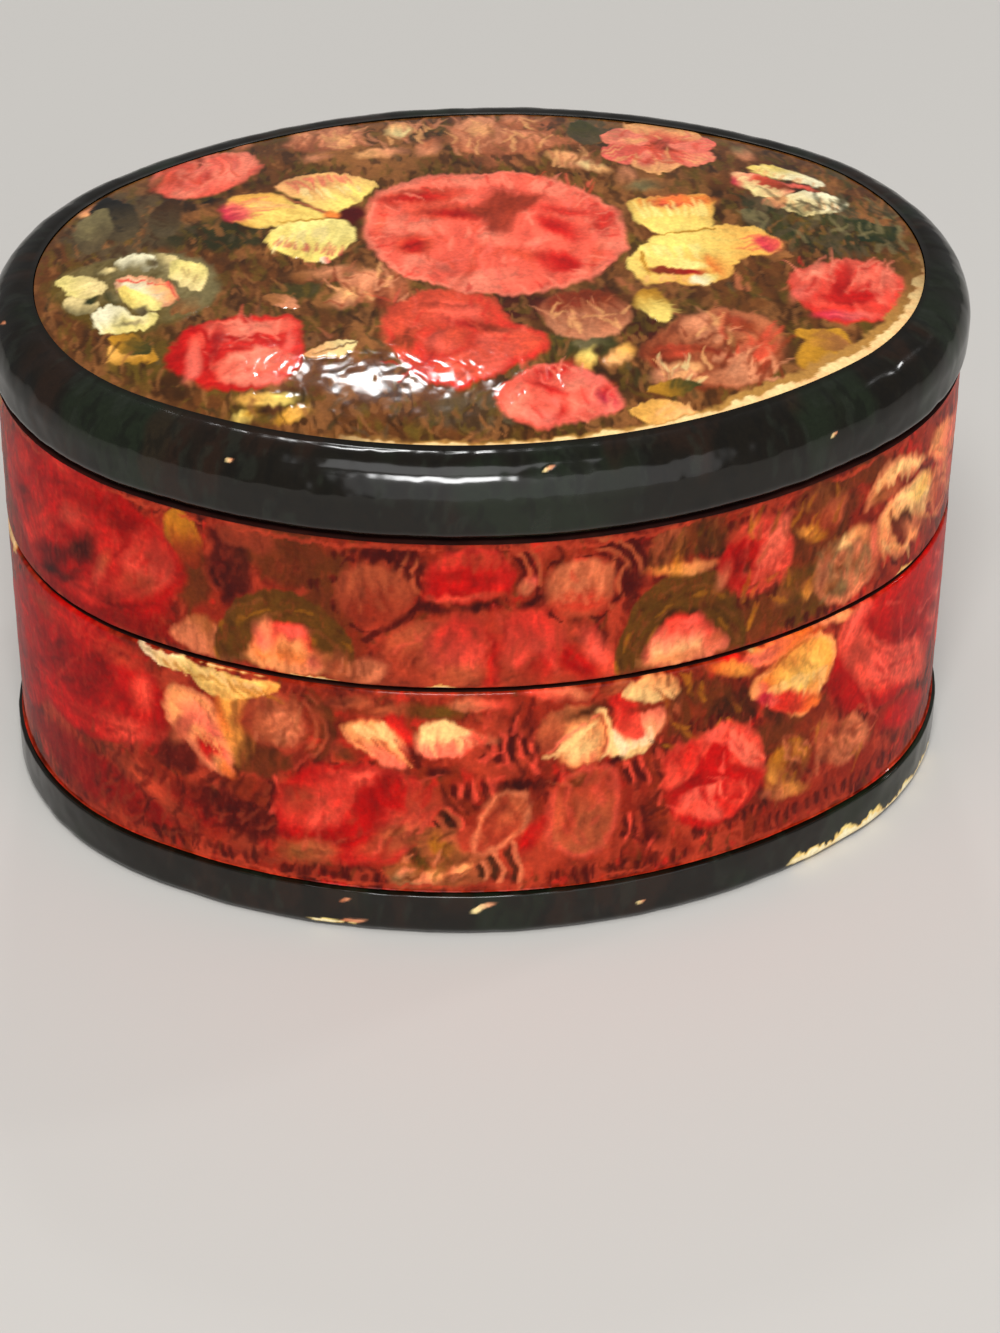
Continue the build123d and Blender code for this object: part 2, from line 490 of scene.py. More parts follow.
def field_ground(canvas):
    """Brown and olive ground with tan and green patches, in small upright strokes."""
    for paint, size, share, cover in (
            ("umber", 2.6, 0.45, 0.8), ("olive", 2.0, 0.35, 0.8), ("tan", 1.5, 0.3, 0.85),
            ("brown", 1.0, 0.3, 0.7)):
        mottle(canvas, paint, size, share, cover)
    washes(canvas, (
        (-18.5, 5.5, 3.8, 4.6, "slate"), (-13.5, 3.3, 2.8, 1.8, "bottle"),
        (-15.0, 8.0, 1.6, 2.0, "black"), (-10.5, 11.5, 2.2, 3.6, "brown"),
        (-4.5, 12.0, 3.6, 3.6, "tan"), (3.0, 13.0, 4.0, 3.6, "dusty"), (7.5, 13.5, 1.6, 2.4, "slate"),
        (14.5, 9.0, 2.2, 3.2, "brown"), (9.8, 6.8, 2.6, 1.6, "tan"), (16.0, 3.5, 1.8, 1.8, "slate"),
        (19.2, 1.6, 3.4, 3.0, "bottle"), (21.5, 2.8, 1.6, 2.6, "tan"), (16.8, 1.6, 2.4, 2.0, "moss"),
        (14.5, -2.6, 2.2, 2.8, "brown"), (13.0, -4.8, 1.6, 2.0, "brown"),
        (-10.5, -1.2, 3.2, 2.0, "brown"), (-10.0, -2.6, 1.3, 0.9, "moss"),
        (-9.6, -6.8, 2.4, 2.4, "brown"), (1.6, -5.0, 1.6, 1.4, "maroon"),
        (7.6, -8.0, 1.4, 1.2, "maroon"), (4.0, -8.9, 2.4, 1.0, "moss"), (5.8, -12.0, 1.6, 1.0, "umber"),
        (-18.0, -7.4, 2.0, 2.4, "olive"), (-11.8, -12.6, 2.4, 1.2, "olive"),
        (-1.6, -14.0, 2.6, 1.6, "slate"), (14.8, -9.2, 0.9, 1.6, "umber"),
        (6.0, 7.8, 2.0, 1.2, "brown")))
    for paint, size, share, cover in (
            ("umber", 0.6, 0.3, 0.7), ("tan", 0.5, 0.22, 0.6), ("olive", 0.5, 0.2, 0.6)):
        mottle(canvas, paint, size, share, cover, 2.2)
    scatter(canvas, (-23, -16), (23, 16), 520, 0.9, ("tan", "olive", "umber", "black", "brown"), 0.13,
            0.5)
    scatter(canvas, (-12, -8), (-5, 1), 50, 1.0, ("dusty", "tan", "umber"), 0.16, 0.6)
    scatter(canvas, (5, -9), (16, -2), 50, 1.0, ("dusty", "umber", "tan"), 0.16, 0.6)
    scatter(canvas, (-23, -16), (23, 16), 240, 1.0, ("bottle", "moss", "slate", "olive"), 0.16, 0.5)


def peony(canvas):
    """The big open flower in the middle of the field."""
    shape(canvas, ((-6.0, 3.0), (-5.6, 5.2), (-4.6, 7.0), (-2.2, 8.3), (0.5, 8.5), (3.2, 8.1),
                   (5.6, 6.7), (7.2, 4.6), (7.9, 2.6), (7.6, 0.2), (6.6, -1.6), (5.2, -3.0),
                   (2.6, -3.8), (0.2, -4.0), (-2.6, -2.9), (-4.6, -1.2), (-5.6, 0.8)), "coral", "coral",
          70, "salmon", 0.4, 0.6)
    pale_petals = (
        (-4.4, 4.0, 1.4, 0.9, 60), (-2.6, 7.4, 2.0, 0.6, 14), (1.2, 7.6, 2.6, 0.7, -2),
        (4.8, 6.0, 1.9, 0.8, -36), (-2.4, 3.0, 1.9, 0.7, 10), (6.9, 1.0, 1.6, 0.7, 80),
        (5.8, -1.4, 1.6, 0.7, 50), (0.8, -2.6, 2.6, 1.2, 0), (-3.0, -0.8, 1.6, 0.9, -50),
        (1.2, 1.5, 1.3, 0.9, 0), (-0.2, 5.9, 1.2, 0.5, -10), (3.4, 1.4, 1.0, 0.4, 20))
    touches(canvas, [(*petal_row, "salmon", "coral") for petal_row in pale_petals], 0.5, 0.8)
    scatter(canvas, (-4.4, -2.6), (6.6, 7.4), 110, 1.1, ("salmon", "pink", "coral", "vermilion"), 0.14,
            0.5)
    for at, size, turn, paint in (
            ((-2.6, 6.3), (2.2, 0.8), 2, "vermilion"), ((-2.8, 6.2), (1.7, 0.42), 4, "crimson"),
            ((-1.2, 4.5), (2.2, 0.8), -12, "vermilion"), ((-1.1, 4.3), (1.3, 0.45), -16, "crimson"),
            ((-3.4, 1.4), (1.1, 1.2), 10, "vermilion"), ((-3.5, 1.3), (0.7, 0.8), 10, "crimson"),
            ((1.5, 4.3), (2.3, 1.0), 82, "brick"), ((2.7, 5.2), (1.3, 0.8), 40, "brick"),
            ((0.5, 4.5), (0.8, 0.5), -10, "brick"), ((4.4, 2.4), (1.6, 0.7), -56, "scarlet"),
            ((4.2, 2.5), (1.1, 0.4), -60, "crimson"), ((5.0, 4.1), (1.6, 0.4), -16, "scarlet"),
            ((6.8, 3.0), (1.0, 0.5), 66, "scarlet"), ((2.6, -0.2), (1.5, 0.5), -18, "vermilion"),
            ((4.0, -1.0), (1.3, 1.0), -40, "scarlet"), ((4.3, -1.1), (0.9, 0.7), -40, "crimson"),
            ((-0.7, -1.2), (1.7, 0.2), 68, "vermilion"), ((5.9, -1.0), (1.3, 0.24), 70, "vermilion"),
            ((-5.0, 3.6), (1.2, 0.3), 80, "vermilion")):
        dab(canvas, at, size, paint, turn, paint, 0.7, 0.004, 0.9, 0.9)
    fringe_count = 44
    for k in range(fringe_count):
        angle = 360 * k / fringe_count
        c, s = axes(angle)
        comma(canvas, (0.9 + 6.5 * c, 2.2 + 5.9 * s), canvas.random.uniform(0.7, 1.5), 0.12,
              angle + 180, ("salmon", "coral", "salmon", "scarlet")[k % 4], 0.1, 0.022, 0.6)


def yellow_flower_left(canvas):
    """Three broad petals, yellow with peach and magenta hatching."""
    dab(canvas, (-6.6, 4.5), (0.8, 1.1), "wine", -30, soft=0.4)
    shape(canvas, ((-7.4, 5.1), (-9.0, 6.5), (-10.3, 7.7), (-9.9, 8.7), (-8.1, 9.4), (-6.6, 9.1),
                   (-5.0, 7.8), (-5.9, 6.1)), "peach", "yellow", -50)
    hatch(canvas, (-9.9, 8.6), (-6.2, 9.0), 11, 1.2, -78, "pink", 0.15)
    hatch(canvas, (-9.4, 7.6), (-6.0, 7.6), 7, 1.2, -70, "cream", 0.15)
    shape(canvas, ((-13.3, 6.2), (-12.2, 7.5), (-10.4, 7.2), (-9.0, 5.9), (-7.7, 4.8), (-9.2, 4.1),
                   (-11.1, 3.8), (-12.8, 4.7)), "gold", "yellow", -30)
    dab(canvas, (-12.7, 5.6), (0.8, 1.1), "magenta", 14, "pink", 0.5, streak=0.8)
    hatch(canvas, (-12.2, 4.8), (-12.2, 6.8), 6, 1.5, 2, "pink", 0.12)
    hatch(canvas, (-11.2, 6.7), (-9.4, 5.8), 5, 1.6, 190, "peach", 0.16)
    comma(canvas, (-7.7, 5.0), 3.4, 0.16, 136, "dusty", 0.05)
    shape(canvas, ((-7.6, 4.4), (-10.2, 4.0), (-11.2, 2.4), (-10.5, 1.2), (-8.1, 0.1), (-6.8, 1.6),
                   (-6.5, 3.3)), "yellow", "lemon", 60)
    comma(canvas, (-7.9, 4.4), 2.8, 0.13, 188, "ochre", -0.05)
    hatch(canvas, (-10.8, 2.4), (-7.6, 3.6), 7, 1.8, -108, "cream", 0.15)
    hatch(canvas, (-10.9, 1.9), (-7.3, 0.7), 12, 0.9, 74, "magenta", 0.13)
    dab(canvas, (-8.1, 0.3), (0.3, 0.35), "ivory", 0, "pink")
    dab(canvas, (-7.5, 4.9), (0.45, 0.4), "orange", soft=0.4)


def yellow_flower_right(canvas):
    """A yellow flower: an orange-topped crown, a side petal and a round cup below."""
    shape(canvas, ((8.2, 4.7), (9.5, 5.1), (11.5, 5.4), (12.9, 4.8), (12.8, 3.0), (12.3, 1.8),
                   (10.4, 1.2), (9.2, 1.4), (8.7, 2.8)), "yellow", "gold", 70)
    dab(canvas, (11.2, 4.6), (1.7, 0.75), "vermilion", -4, "orange", 0.5, streak=0.8)
    hatch(canvas, (8.8, 4.9), (12.7, 5.0), 9, 0.9, -88, "orange", 0.14)
    hatch(canvas, (9.0, 3.2), (12.6, 3.0), 12, 1.7, 92, "lemon", 0.14)
    shape(canvas, ((8.9, 0.6), (11.5, 1.7), (13.3, 2.1), (15.0, 1.3), (15.8, 0.0), (15.2, -1.3),
                   (13.9, -1.5), (12.8, -2.4), (12.2, -1.0)), "yellow", "gold", -20)
    dab(canvas, (15.1, -0.1), (0.65, 0.85), "magenta", 20, "coral", 0.5, streak=0.8)
    hatch(canvas, (14.8, 0.9), (14.6, -1.0), 5, 1.2, 184, "coral", 0.12)
    comma(canvas, (12.6, 1.6), 3.6, 0.13, 186, "ochre", 0.06)
    shape(canvas, ((7.8, -3.0), (7.6, -1.5), (8.3, -0.1), (10.0, 0.7), (11.8, -0.3), (12.8, -1.7),
                   (12.6, -3.2), (11.3, -4.0), (9.8, -3.6), (8.4, -3.7)), "yellow", "gold", -60)
    hatch(canvas, (8.6, -0.2), (11.6, 0.1), 8, 1.5, -92, "lemon", 0.16)
    touches(canvas, (
        (9.9, -2.5, 1.6, 0.42, -14, "rust", "crimson"), (10.2, -1.7, 1.5, 0.6, -18, "yellow", "lemon"),
        (12.1, -2.2, 0.4, 1.2, 8, "orange", "gold"),
        (11.4, -3.4, 0.7, 0.45, 20, "ivory", "yellow")), 0.3, 0.5)
    comma(canvas, (8.4, -0.6), 2.4, 0.15, 268, "ochre", 0.08)
    hatch(canvas, (8.2, -3.4), (10.6, -3.4), 5, 0.7, 80, "peach", 0.14)


def pale_flower(canvas):
    """The cream flower at the field's left end, in curling petals on grey-green."""
    shape(canvas, ((-22.4, 0.4), (-19.6, 1.6), (-16.8, 1.9), (-14.3, 0.6), (-13.9, -2.4), (-15.4, -4.6),
                   (-18.0, -5.6), (-20.4, -4.6), (-21.9, -2.4)), "olive", "steel", 40, soft=0.5)
    for points, paint, to, turn, edge in (
            (((-22.3, 0.4), (-20.6, 0.2), (-19.4, -0.9), (-20.0, -1.8), (-21.4, -1.4)), "lemon",
             "cream", 20, None),
            (((-21.8, -1.6), (-20.8, -1.6), (-20.1, -2.6), (-20.8, -3.4), (-21.7, -2.8)), "cream",
             "steel", 260, None),
            (((-18.9, 1.6), (-17.4, 1.9), (-16.9, 0.8), (-17.9, 0.2), (-18.9, 0.6)), "ivory", "steel",
             250, None),
            (((-17.0, 1.7), (-15.8, 1.3), (-15.9, 0.2), (-16.9, 0.2)), "cream", "steel", 200, None),
            (((-15.9, 0.9), (-14.7, 0.5), (-14.2, -0.8), (-14.8, -2.2), (-15.9, -1.4), (-16.3, -0.2)),
             "lemon", "cream", 250, None),
            (((-19.0, -0.4), (-17.9, -0.2), (-16.4, -1.2), (-15.9, -2.6), (-16.6, -3.6), (-17.6, -2.9),
              (-18.8, -1.9)), "ivory", "peach", 20, "blush"),
            (((-18.9, -1.2), (-18.2, -1.4), (-16.7, -3.7), (-17.4, -3.9), (-18.6, -2.8)), "yellow",
             "lemon", 300, None),
            (((-20.4, -3.2), (-19.2, -2.8), (-18.2, -3.9), (-16.9, -4.1), (-17.6, -5.2), (-19.4, -5.3),
              (-20.4, -4.5)), "lemon", "ivory", 120, None),
            (((-15.7, -2.9), (-14.6, -2.7), (-15.0, -4.0), (-16.3, -4.4)), "tan", "steel", 60, None)):
        shape(canvas, points, paint, to, turn, edge, 0.18, 0.6, 0.022)
    touches(canvas, (
        (-20.4, -2.0, 0.42, 0.3, 20, "bottle", "moss"), (-17.8, -3.6, 0.5, 0.3, -40, "steel", "slate"),
        (-17.3, 0.9, 0.3, 0.4, 0, "steel", "slate"), (-19.3, -2.2, 0.3, 0.6, 30, "moss", "steel"),
        (-19.6, 0.5, 0.5, 0.3, 20, "steel", "cream"),
        (-18.4, -4.6, 0.6, 0.18, 6, "steel", "cream")), 0.25)
    comma(canvas, (-18.9, -0.5), 2.6, 0.13, -14, "coral", -0.12)
    comma(canvas, (-16.4, -1.2), 2.0, 0.13, -82, "coral", 0.1)
    hatch(canvas, (-15.6, 0.4), (-14.6, -1.0), 3, 1.1, 255, "tan", 0.14, cover=0.4)
    hatch(canvas, (-19.8, -3.6), (-17.8, -4.6), 3, 0.9, 250, "steel", 0.14, cover=0.4)


def field_roses(canvas):
    """The red roses set round the field."""
    shape(canvas, ((-16.4, -7.0), (-15.4, -5.6), (-12.9, -4.9), (-10.1, -5.3), (-9.8, -7.4),
                   (-10.0, -9.6), (-11.6, -10.9), (-13.6, -11.1), (-15.6, -10.0), (-16.6, -8.6)),
          "crimson", "scarlet", 0, soft=0.4)
    touches(canvas, (
        (-15.4, -8.3, 1.7, 0.45, 80, "pink", "coral"), (-13.4, -5.9, 1.3, 0.6, -8, "coral", "salmon"),
        (-11.4, -6.0, 1.4, 0.6, 6, "salmon", "coral"), (-13.0, -9.2, 1.5, 1.1, 40, "coral", "salmon"),
        (-11.5, -8.9, 1.4, 1.0, -30, "salmon", "coral"),
        (-12.4, -10.3, 1.6, 0.6, -10, "salmon", "pink"),
        (-14.5, -7.2, 1.2, 0.35, 78, "crimson", "ruby"),
        (-12.6, -7.2, 1.6, 0.3, -4, "ruby", "crimson")), 0.4, 0.9)
    scatter(canvas, (-14.8, -10.6), (-10.4, -5.2), 34, 1.0, ("salmon", "coral", "pink"), 0.13, 0.6)
    touches(canvas, (
        (-14.2, -7.2, 1.3, 0.4, 76, "crimson", "ruby"), (-12.4, -7.4, 1.5, 0.3, -6, "scarlet", "ruby"),
        (-10.6, -7.8, 0.9, 0.25, 70, "scarlet", "pink")), 0.5, 0.9)

    shape(canvas, ((-0.4, -12.6), (0.9, -11.2), (2.6, -10.4), (4.4, -11.3), (5.8, -12.8), (5.3, -14.3),
                   (3.6, -15.0), (1.4, -15.5), (0.0, -14.6)), "coral", "pink", 20, soft=0.4)
    touches(canvas, (
        (2.6, -11.2, 1.2, 0.5, 30, "ruby", "scarlet"), (5.1, -13.2, 0.9, 0.4, 76, "magenta", "scarlet"),
        (0.8, -13.0, 1.4, 0.6, 60, "salmon", "coral"), (3.9, -12.3, 1.0, 0.45, 20, "salmon", "pink"),
        (2.2, -12.6, 1.2, 0.3, -40, "ruby", "scarlet"), (3.2, -13.6, 1.2, 0.4, 40, "salmon", "coral"),
        (1.4, -14.6, 1.2, 0.5, -20, "salmon", "pink"), (2.6, -14.2, 0.7, 0.24, 70, "ruby", "scarlet"),
        (4.2, -14.3, 0.9, 0.35, 20, "coral", "pink")), 0.6, 0.9)
    scatter(canvas, (0.0, -15.0), (5.2, -11.0), 30, 0.9, ("salmon", "coral", "pink", "scarlet"), 0.12,
            0.6, 110)

    shape(canvas, ((15.5, -4.4), (16.2, -2.8), (17.6, -2.3), (19.3, -1.5), (21.0, -2.3), (21.9, -3.8),
                   (21.0, -5.8), (19.4, -7.2), (17.4, -7.4), (15.9, -6.0)), "coral", "scarlet", -90,
          soft=0.4)
    touches(canvas, (
        (20.4, -3.6, 1.9, 0.9, 84, "salmon", "coral"), (16.9, -3.4, 1.2, 0.5, 50, "coral", "salmon"),
        (16.3, -4.9, 1.1, 0.4, 50, "pink", "coral"), (18.4, -3.6, 1.3, 0.42, 74, "crimson", "scarlet"),
        (18.7, -5.3, 1.7, 0.5, 10, "ruby", "crimson"), (19.6, -4.6, 0.9, 0.3, 60, "scarlet", "crimson"),
        (17.6, -5.9, 1.1, 0.3, -10, "coral", "scarlet"),
        (18.1, -6.8, 1.4, 0.4, 4, "magenta", "pink")), 0.5, 0.9)
    scatter(canvas, (16.2, -6.6), (21.2, -2.2), 34, 1.2, ("salmon", "coral", "scarlet", "salmon"), 0.12,
            0.55, 70)
    touches(canvas, (
        (18.4, -3.8, 1.4, 0.4, 74, "crimson", "scarlet"),
        (18.8, -5.3, 1.6, 0.45, 10, "ruby", "crimson"),
        (20.9, -4.6, 0.9, 0.24, 80, "scarlet", "coral")), 0.5, 0.9)

    shape(canvas, ((-5.8, -6.4), (-4.9, -4.4), (-2.2, -3.4), (0.2, -4.4), (0.9, -6.6), (2.4, -8.2),
                   (1.9, -10.0), (0.2, -10.8), (-2.2, -12.2), (-4.2, -11.0), (-5.4, -9.0)), "vermilion",
          "scarlet", -60, soft=0.5)
    touches(canvas, (
        (-2.6, -5.4, 2.2, 1.1, -10, "vermilion", "coral"),
        (-4.6, -7.6, 1.5, 0.8, 70, "rust", "vermilion"),
        (0.6, -8.6, 1.6, 1.3, -16, "coral", "vermilion"),
        (-1.6, -10.4, 1.9, 1.2, 24, "vermilion", "coral"),
        (-0.9, -6.9, 1.5, 0.4, -24, "scarlet", "rust"), (-3.4, -9.2, 1.2, 0.3, 66, "scarlet", "rust"),
        (-2.4, -8.0, 1.2, 0.8, 50, "coral", "vermilion")), 0.6, 0.9)
    scatter(canvas, (-5.4, -11.4), (1.6, -4.0), 60, 1.2, ("coral", "vermilion", "scarlet", "vermilion"),
            0.14, 0.5, 100)


def field_brown_flowers(canvas):
    """The brown streaked flower, the brown bud and the dusty petals left of the peony."""
    shape(canvas, ((7.1, -10.2), (8.4, -8.4), (9.6, -7.0), (12.0, -6.3), (14.0, -7.4), (14.4, -9.8),
                   (13.4, -12.0), (10.8, -12.9), (8.4, -12.4)), "rust", "dusty", 70, soft=0.45,
          streak=0.9)
    touches(canvas, (
        (10.4, -8.0, 1.4, 1.0, 70, "dusty", "blush"), (12.4, -7.6, 1.2, 0.6, -30, "terracotta", "rust"),
        (8.6, -10.0, 1.3, 0.5, 10, "rust", "vermilion"), (8.7, -11.6, 1.4, 0.7, 20, "blush", "peach"),
        (11.4, -12.0, 1.6, 0.7, 10, "dusty", "blush"),
        (13.4, -9.8, 1.7, 0.5, 70, "vermilion", "terracotta"),
        (12.2, -10.4, 1.5, 0.5, 64, "blush", "terracotta"),
        (10.6, -10.0, 1.2, 0.3, -12, "rust", "brick")), 0.5, 1.0)
    scatter(canvas, (9.2, -9.4), (12.4, -7.4), 26, 1.3, ("blush", "peach", "rust", "dusty"), 0.13, 0.7,
            76)
    scatter(canvas, (7.6, -12.6), (11.0, -10.8), 22, 1.0, ("peach", "blush", "cream", "dusty"), 0.13,
            0.7, 80)
    scatter(canvas, (11.4, -12.8), (14.0, -8.6), 30, 1.5, ("blush", "tan", "rust", "vermilion"), 0.14,
            0.7, 62)

    shape(canvas, ((2.4, -6.2), (3.0, -4.6), (4.8, -3.9), (6.4, -4.6), (7.0, -6.4), (6.2, -8.2),
                   (4.6, -8.9), (3.0, -8.0)), "blush", "rust", 90, soft=0.4)
    dab(canvas, (4.7, -4.9), (1.9, 0.8), "brick", 4, "rust", 0.8, streak=0.9, cover=0.7)
    scatter(canvas, (2.9, -8.0), (6.6, -5.8), 22, 1.4, ("peach", "blush", "dusty"), 0.15, 0.6)
    scatter(canvas, (2.9, -6.0), (6.6, -4.4), 16, 1.0, ("rust", "brick", "dusty"), 0.14, 0.6)
    touches(canvas, (
        (-6.4, -2.4, 1.6, 1.1, 80, "dusty", "blush"), (-5.0, -3.4, 1.7, 0.9, 70, "rust", "dusty"),
        (-7.4, -3.6, 1.0, 0.6, 60, "blush", "peach"),
        (-8.4, -1.0, 1.4, 0.5, 10, "tan", "blush")), 0.6, 0.9)
    scatter(canvas, (-8.0, -4.6), (-4.4, -1.4), 34, 1.3, ("blush", "dusty", "rust", "peach"), 0.15,
            0.65, 76)


def field_cream_flower(canvas):
    """The yellow and cream petals at the right, towards the back."""
    shape(canvas, ((15.4, 8.5), (16.6, 8.8), (18.2, 7.8), (19.5, 6.6), (18.6, 6.2), (17.0, 6.8),
                   (15.8, 7.6)), "yellow", "ivory", -40)
    shape(canvas, ((14.4, 7.4), (15.4, 7.6), (16.8, 6.4), (17.4, 5.4), (16.2, 4.8), (15.2, 5.4)),
          "salmon", "cream", 220)
    shape(canvas, ((16.8, 4.9), (18.4, 5.7), (19.9, 5.0), (20.1, 3.9), (18.9, 3.0), (17.2, 3.0),
                   (16.4, 3.9)), "cream", "ivory", 30)
    touches(canvas, (
        (16.3, 6.4, 1.1, 0.5, -40, "vermilion", "rust"), (14.6, 6.7, 0.28, 0.7, 12, "magenta", "blush"),
        (16.3, 4.3, 0.7, 0.7, 40, "blush", "peach"), (17.8, 6.0, 0.9, 0.2, -20, "pink", "coral")), 0.3)
    hatch(canvas, (17.0, 3.3), (19.8, 3.7), 7, 1.1, 86, "peach", 0.12)
    hatch(canvas, (15.8, 8.2), (18.8, 6.6), 7, 0.7, -120, "peach", 0.12)
    hatch(canvas, (15.0, 7.2), (16.8, 5.4), 6, 0.9, 200, "cream", 0.14)


def field_back_flowers(canvas):
    """The two coral flowers at the back, and the dusty and pale ones round them."""
    dab(canvas, (10.8, 11.3), (2.4, 2.3), "rust", soft=0.6)
    for k, (angle, length) in enumerate(((96, 3.4), (150, 3.1), (206, 3.2), (262, 3.2), (318, 3.3),
                                         (12, 3.1), (52, 3.2))):
        c, s = axes(angle)
        petal(canvas, (10.8 + 0.3 * c, 11.3 + 0.3 * s), length, 2.6, angle, ("coral", "salmon")[k % 2],
              ("peach", "salmon", "pink")[k % 3], ("peach", "blush")[k % 2], 1.4)
    touches(canvas, (
        (10.9, 11.3, 0.9, 0.45, 70, "vermilion", "rust"),
        (11.6, 10.7, 0.6, 0.3, -40, "rust", "vermilion"), (9.4, 11.9, 0.9, 0.4, 20, "salmon", "peach"),
        (10.2, 9.7, 0.9, 0.4, 60, "pink", "salmon")), 0.5, 0.9)
    scatter(canvas, (8.6, 8.9), (13.0, 13.8), 34, 1.1, ("peach", "salmon", "coral", "vermilion"), 0.13,
            0.6, 84)
    shape(canvas, ((-17.0, 10.6), (-16.6, 12.6), (-14.8, 13.3), (-12.4, 13.2), (-11.0, 11.6),
                   (-11.6, 9.6), (-13.4, 8.0), (-15.4, 7.6), (-16.6, 8.8)), "coral", "salmon", 70,
          soft=0.45)
    touches(canvas, (
        (-15.7, 11.3, 1.7, 0.9, 70, "vermilion", "coral"),
        (-12.9, 11.2, 1.9, 1.0, 100, "salmon", "coral"), (-14.9, 8.7, 1.2, 0.8, 60, "salmon", "coral"),
        (-14.2, 9.8, 1.0, 0.35, 70, "vermilion", "scarlet"),
        (-16.6, 10.0, 1.0, 0.4, 80, "rust", "dusty"),
        (-14.3, 12.2, 0.9, 0.3, 80, "rust", "vermilion")), 0.5, 0.9)
    scatter(canvas, (-16.6, 8.4), (-11.6, 12.8), 40, 1.2, ("salmon", "pink", "coral", "vermilion"),
            0.14, 0.6)
    shape(canvas, ((-0.2, 11.2), (-0.4, 13.2), (0.6, 15.6), (1.9, 15.9), (2.8, 14.2), (4.9, 13.2),
                   (5.3, 11.8), (3.4, 10.6), (1.6, 10.8)), "dusty", "blush", 90, soft=0.6, streak=0.9)
    shape(canvas, ((-9.4, 13.0), (-8.8, 15.2), (-6.4, 15.9), (-5.2, 14.6), (-5.4, 12.8), (-7.2, 12.2)),
          "dusty", "blush", 80, soft=0.6, streak=0.9)
    touches(canvas, (
        (1.4, 14.6, 1.4, 0.7, 84, "peach", "blush"), (-6.4, 13.4, 1.1, 0.7, 80, "blush", "peach"),
        (-3.2, 14.7, 1.1, 0.7, 84, "cream", "peach"), (-4.4, 11.5, 1.2, 0.6, 10, "peach", "blush"),
        (-1.8, 12.0, 1.2, 0.7, 70, "blush", "dusty"), (-7.6, 11.7, 1.0, 0.5, 20, "blush", "tan"),
        (5.8, 9.7, 1.3, 0.7, -40, "peach", "blush"), (7.0, 8.8, 0.8, 0.4, -40, "cream", "peach"),
        (3.4, 15.6, 1.2, 0.6, 80, "dusty", "blush"), (-11.8, 14.4, 1.2, 0.5, 80, "dusty", "blush"),
        (15.4, 10.4, 1.0, 0.5, 100, "blush", "steel"), (-20.0, 7.5, 0.6, 0.8, 80, "peach", "blush"),
        (8.6, 7.4, 1.3, 0.5, 80, "tan", "blush"), (9.8, 6.6, 1.2, 0.7, 10, "steel", "tan")), 0.6, 0.9)
    for low, high, count in (
            ((-9.2, 11.4), (-1.0, 15.8), 60), ((-0.4, 10.6), (5.0, 15.6), 56),
            ((4.8, 8.4), (7.6, 10.4), 16)):
        scatter(canvas, low, high, count, 1.3, ("blush", "dusty", "peach", "tan"), 0.15, 0.55)


def field_leaves(canvas):
    """The leaves, the small buds, and dark strokes along the edge at the left and front."""
    for at, length, width, turn, root, tip in (
            ((7.1, 11.4), 3.8, 1.8, 92, "slate", "moss"),
            ((-18.4, 3.4), 5.6, 2.6, 102, "slate", "black"),
            ((-20.4, 2.6), 5.0, 2.0, 84, "slate", "steel"),
            ((-16.4, 3.4), 4.4, 1.8, 84, "slate", "umber"),
            ((-9.6, -4.2), 2.2, 1.1, 150, "blush", "tan"),
            ((15.0, -11.2), 4.2, 2.2, 46, "ochre", "ochre"),
            ((15.2, -8.2), 3.2, 1.6, -28, "ochre", "tan"),
            ((6.0, -14.2), 4.2, 2.2, -18, "gold", "peach"),
            ((7.0, -12.9), 3.0, 1.2, 6, "ochre", "moss"),
            ((8.0, -4.0), 3.4, 1.9, -78, "ochre", "yellow"),
            ((-17.0, -8.0), 3.2, 1.6, 150, "ochre", "gold"),
            ((-19.6, -5.6), 2.8, 1.5, -40, "ochre", "moss"),
            ((14.4, 3.6), 2.4, 1.4, -70, "steel", "slate"),
            ((18.6, 2.6), 3.6, 1.6, -20, "moss", "bottle"),
            ((20.2, 0.2), 3.2, 1.4, 40, "bottle", "moss"),
            ((16.4, -1.4), 2.8, 1.2, 160, "tan", "brown"), ((22.6, 3.4), 2.4, 1.4, 100, "slate", "tan"),
            ((20.6, 7.2), 2.6, 1.2, 100, "slate", "moss")):
        petal(canvas, at, length, width, turn, root, tip, broad=1.0)
        c, s = axes(turn)
        hatch(canvas, (at[0] + c, at[1] + s), (at[0] + length * 0.7 * c, at[1] + length * 0.7 * s), 5,
              width * 0.6, turn + 50, tip, 0.14, cover=0.5)
    scatter(canvas, (14.6, -1.4), (22.8, 4.6), 90, 1.3, ("steel", "slate", "bottle", "slate"), 0.2, 0.6)
    scatter(canvas, (19.0, 2.6), (22.8, 7.0), 30, 1.1, ("slate", "moss", "tan", "bottle"), 0.15, 0.55)
    leaf(canvas, (-7.0, -7.7), 3.0, 1.4, 206, "cream", "peach", "brown")
    touches(canvas, (
        (4.9, -9.2, 1.1, 0.55, 0, "steel", "moss"), (4.4, -10.4, 0.9, 0.5, 70, "gold", "yellow"),
        (6.1, -10.1, 0.9, 0.45, 50, "peach", "gold"), (5.2, -9.8, 0.5, 0.3, 0, "umber", "moss"),
        (-11.9, -12.0, 1.3, 0.45, -10, "gold", "yellow"), (-10.7, -13.3, 0.9, 0.5, 30, "ochre", "gold"),
        (-12.9, -13.0, 0.7, 0.4, 20, "yellow", "ochre"),
        (-11.9, -12.8, 0.6, 0.3, 10, "umber", "brown")), 0.4, 0.8)
    edge_count = 26
    for k in range(edge_count):
        angle = 176 + 4.1 * k
        c, s = axes(angle)
        comma(canvas, (21.0 * c, 14.7 * s), 1.5, 0.15, angle + 20, "umber" if k % 2 else "tan", 0.4,
              cover=0.7)


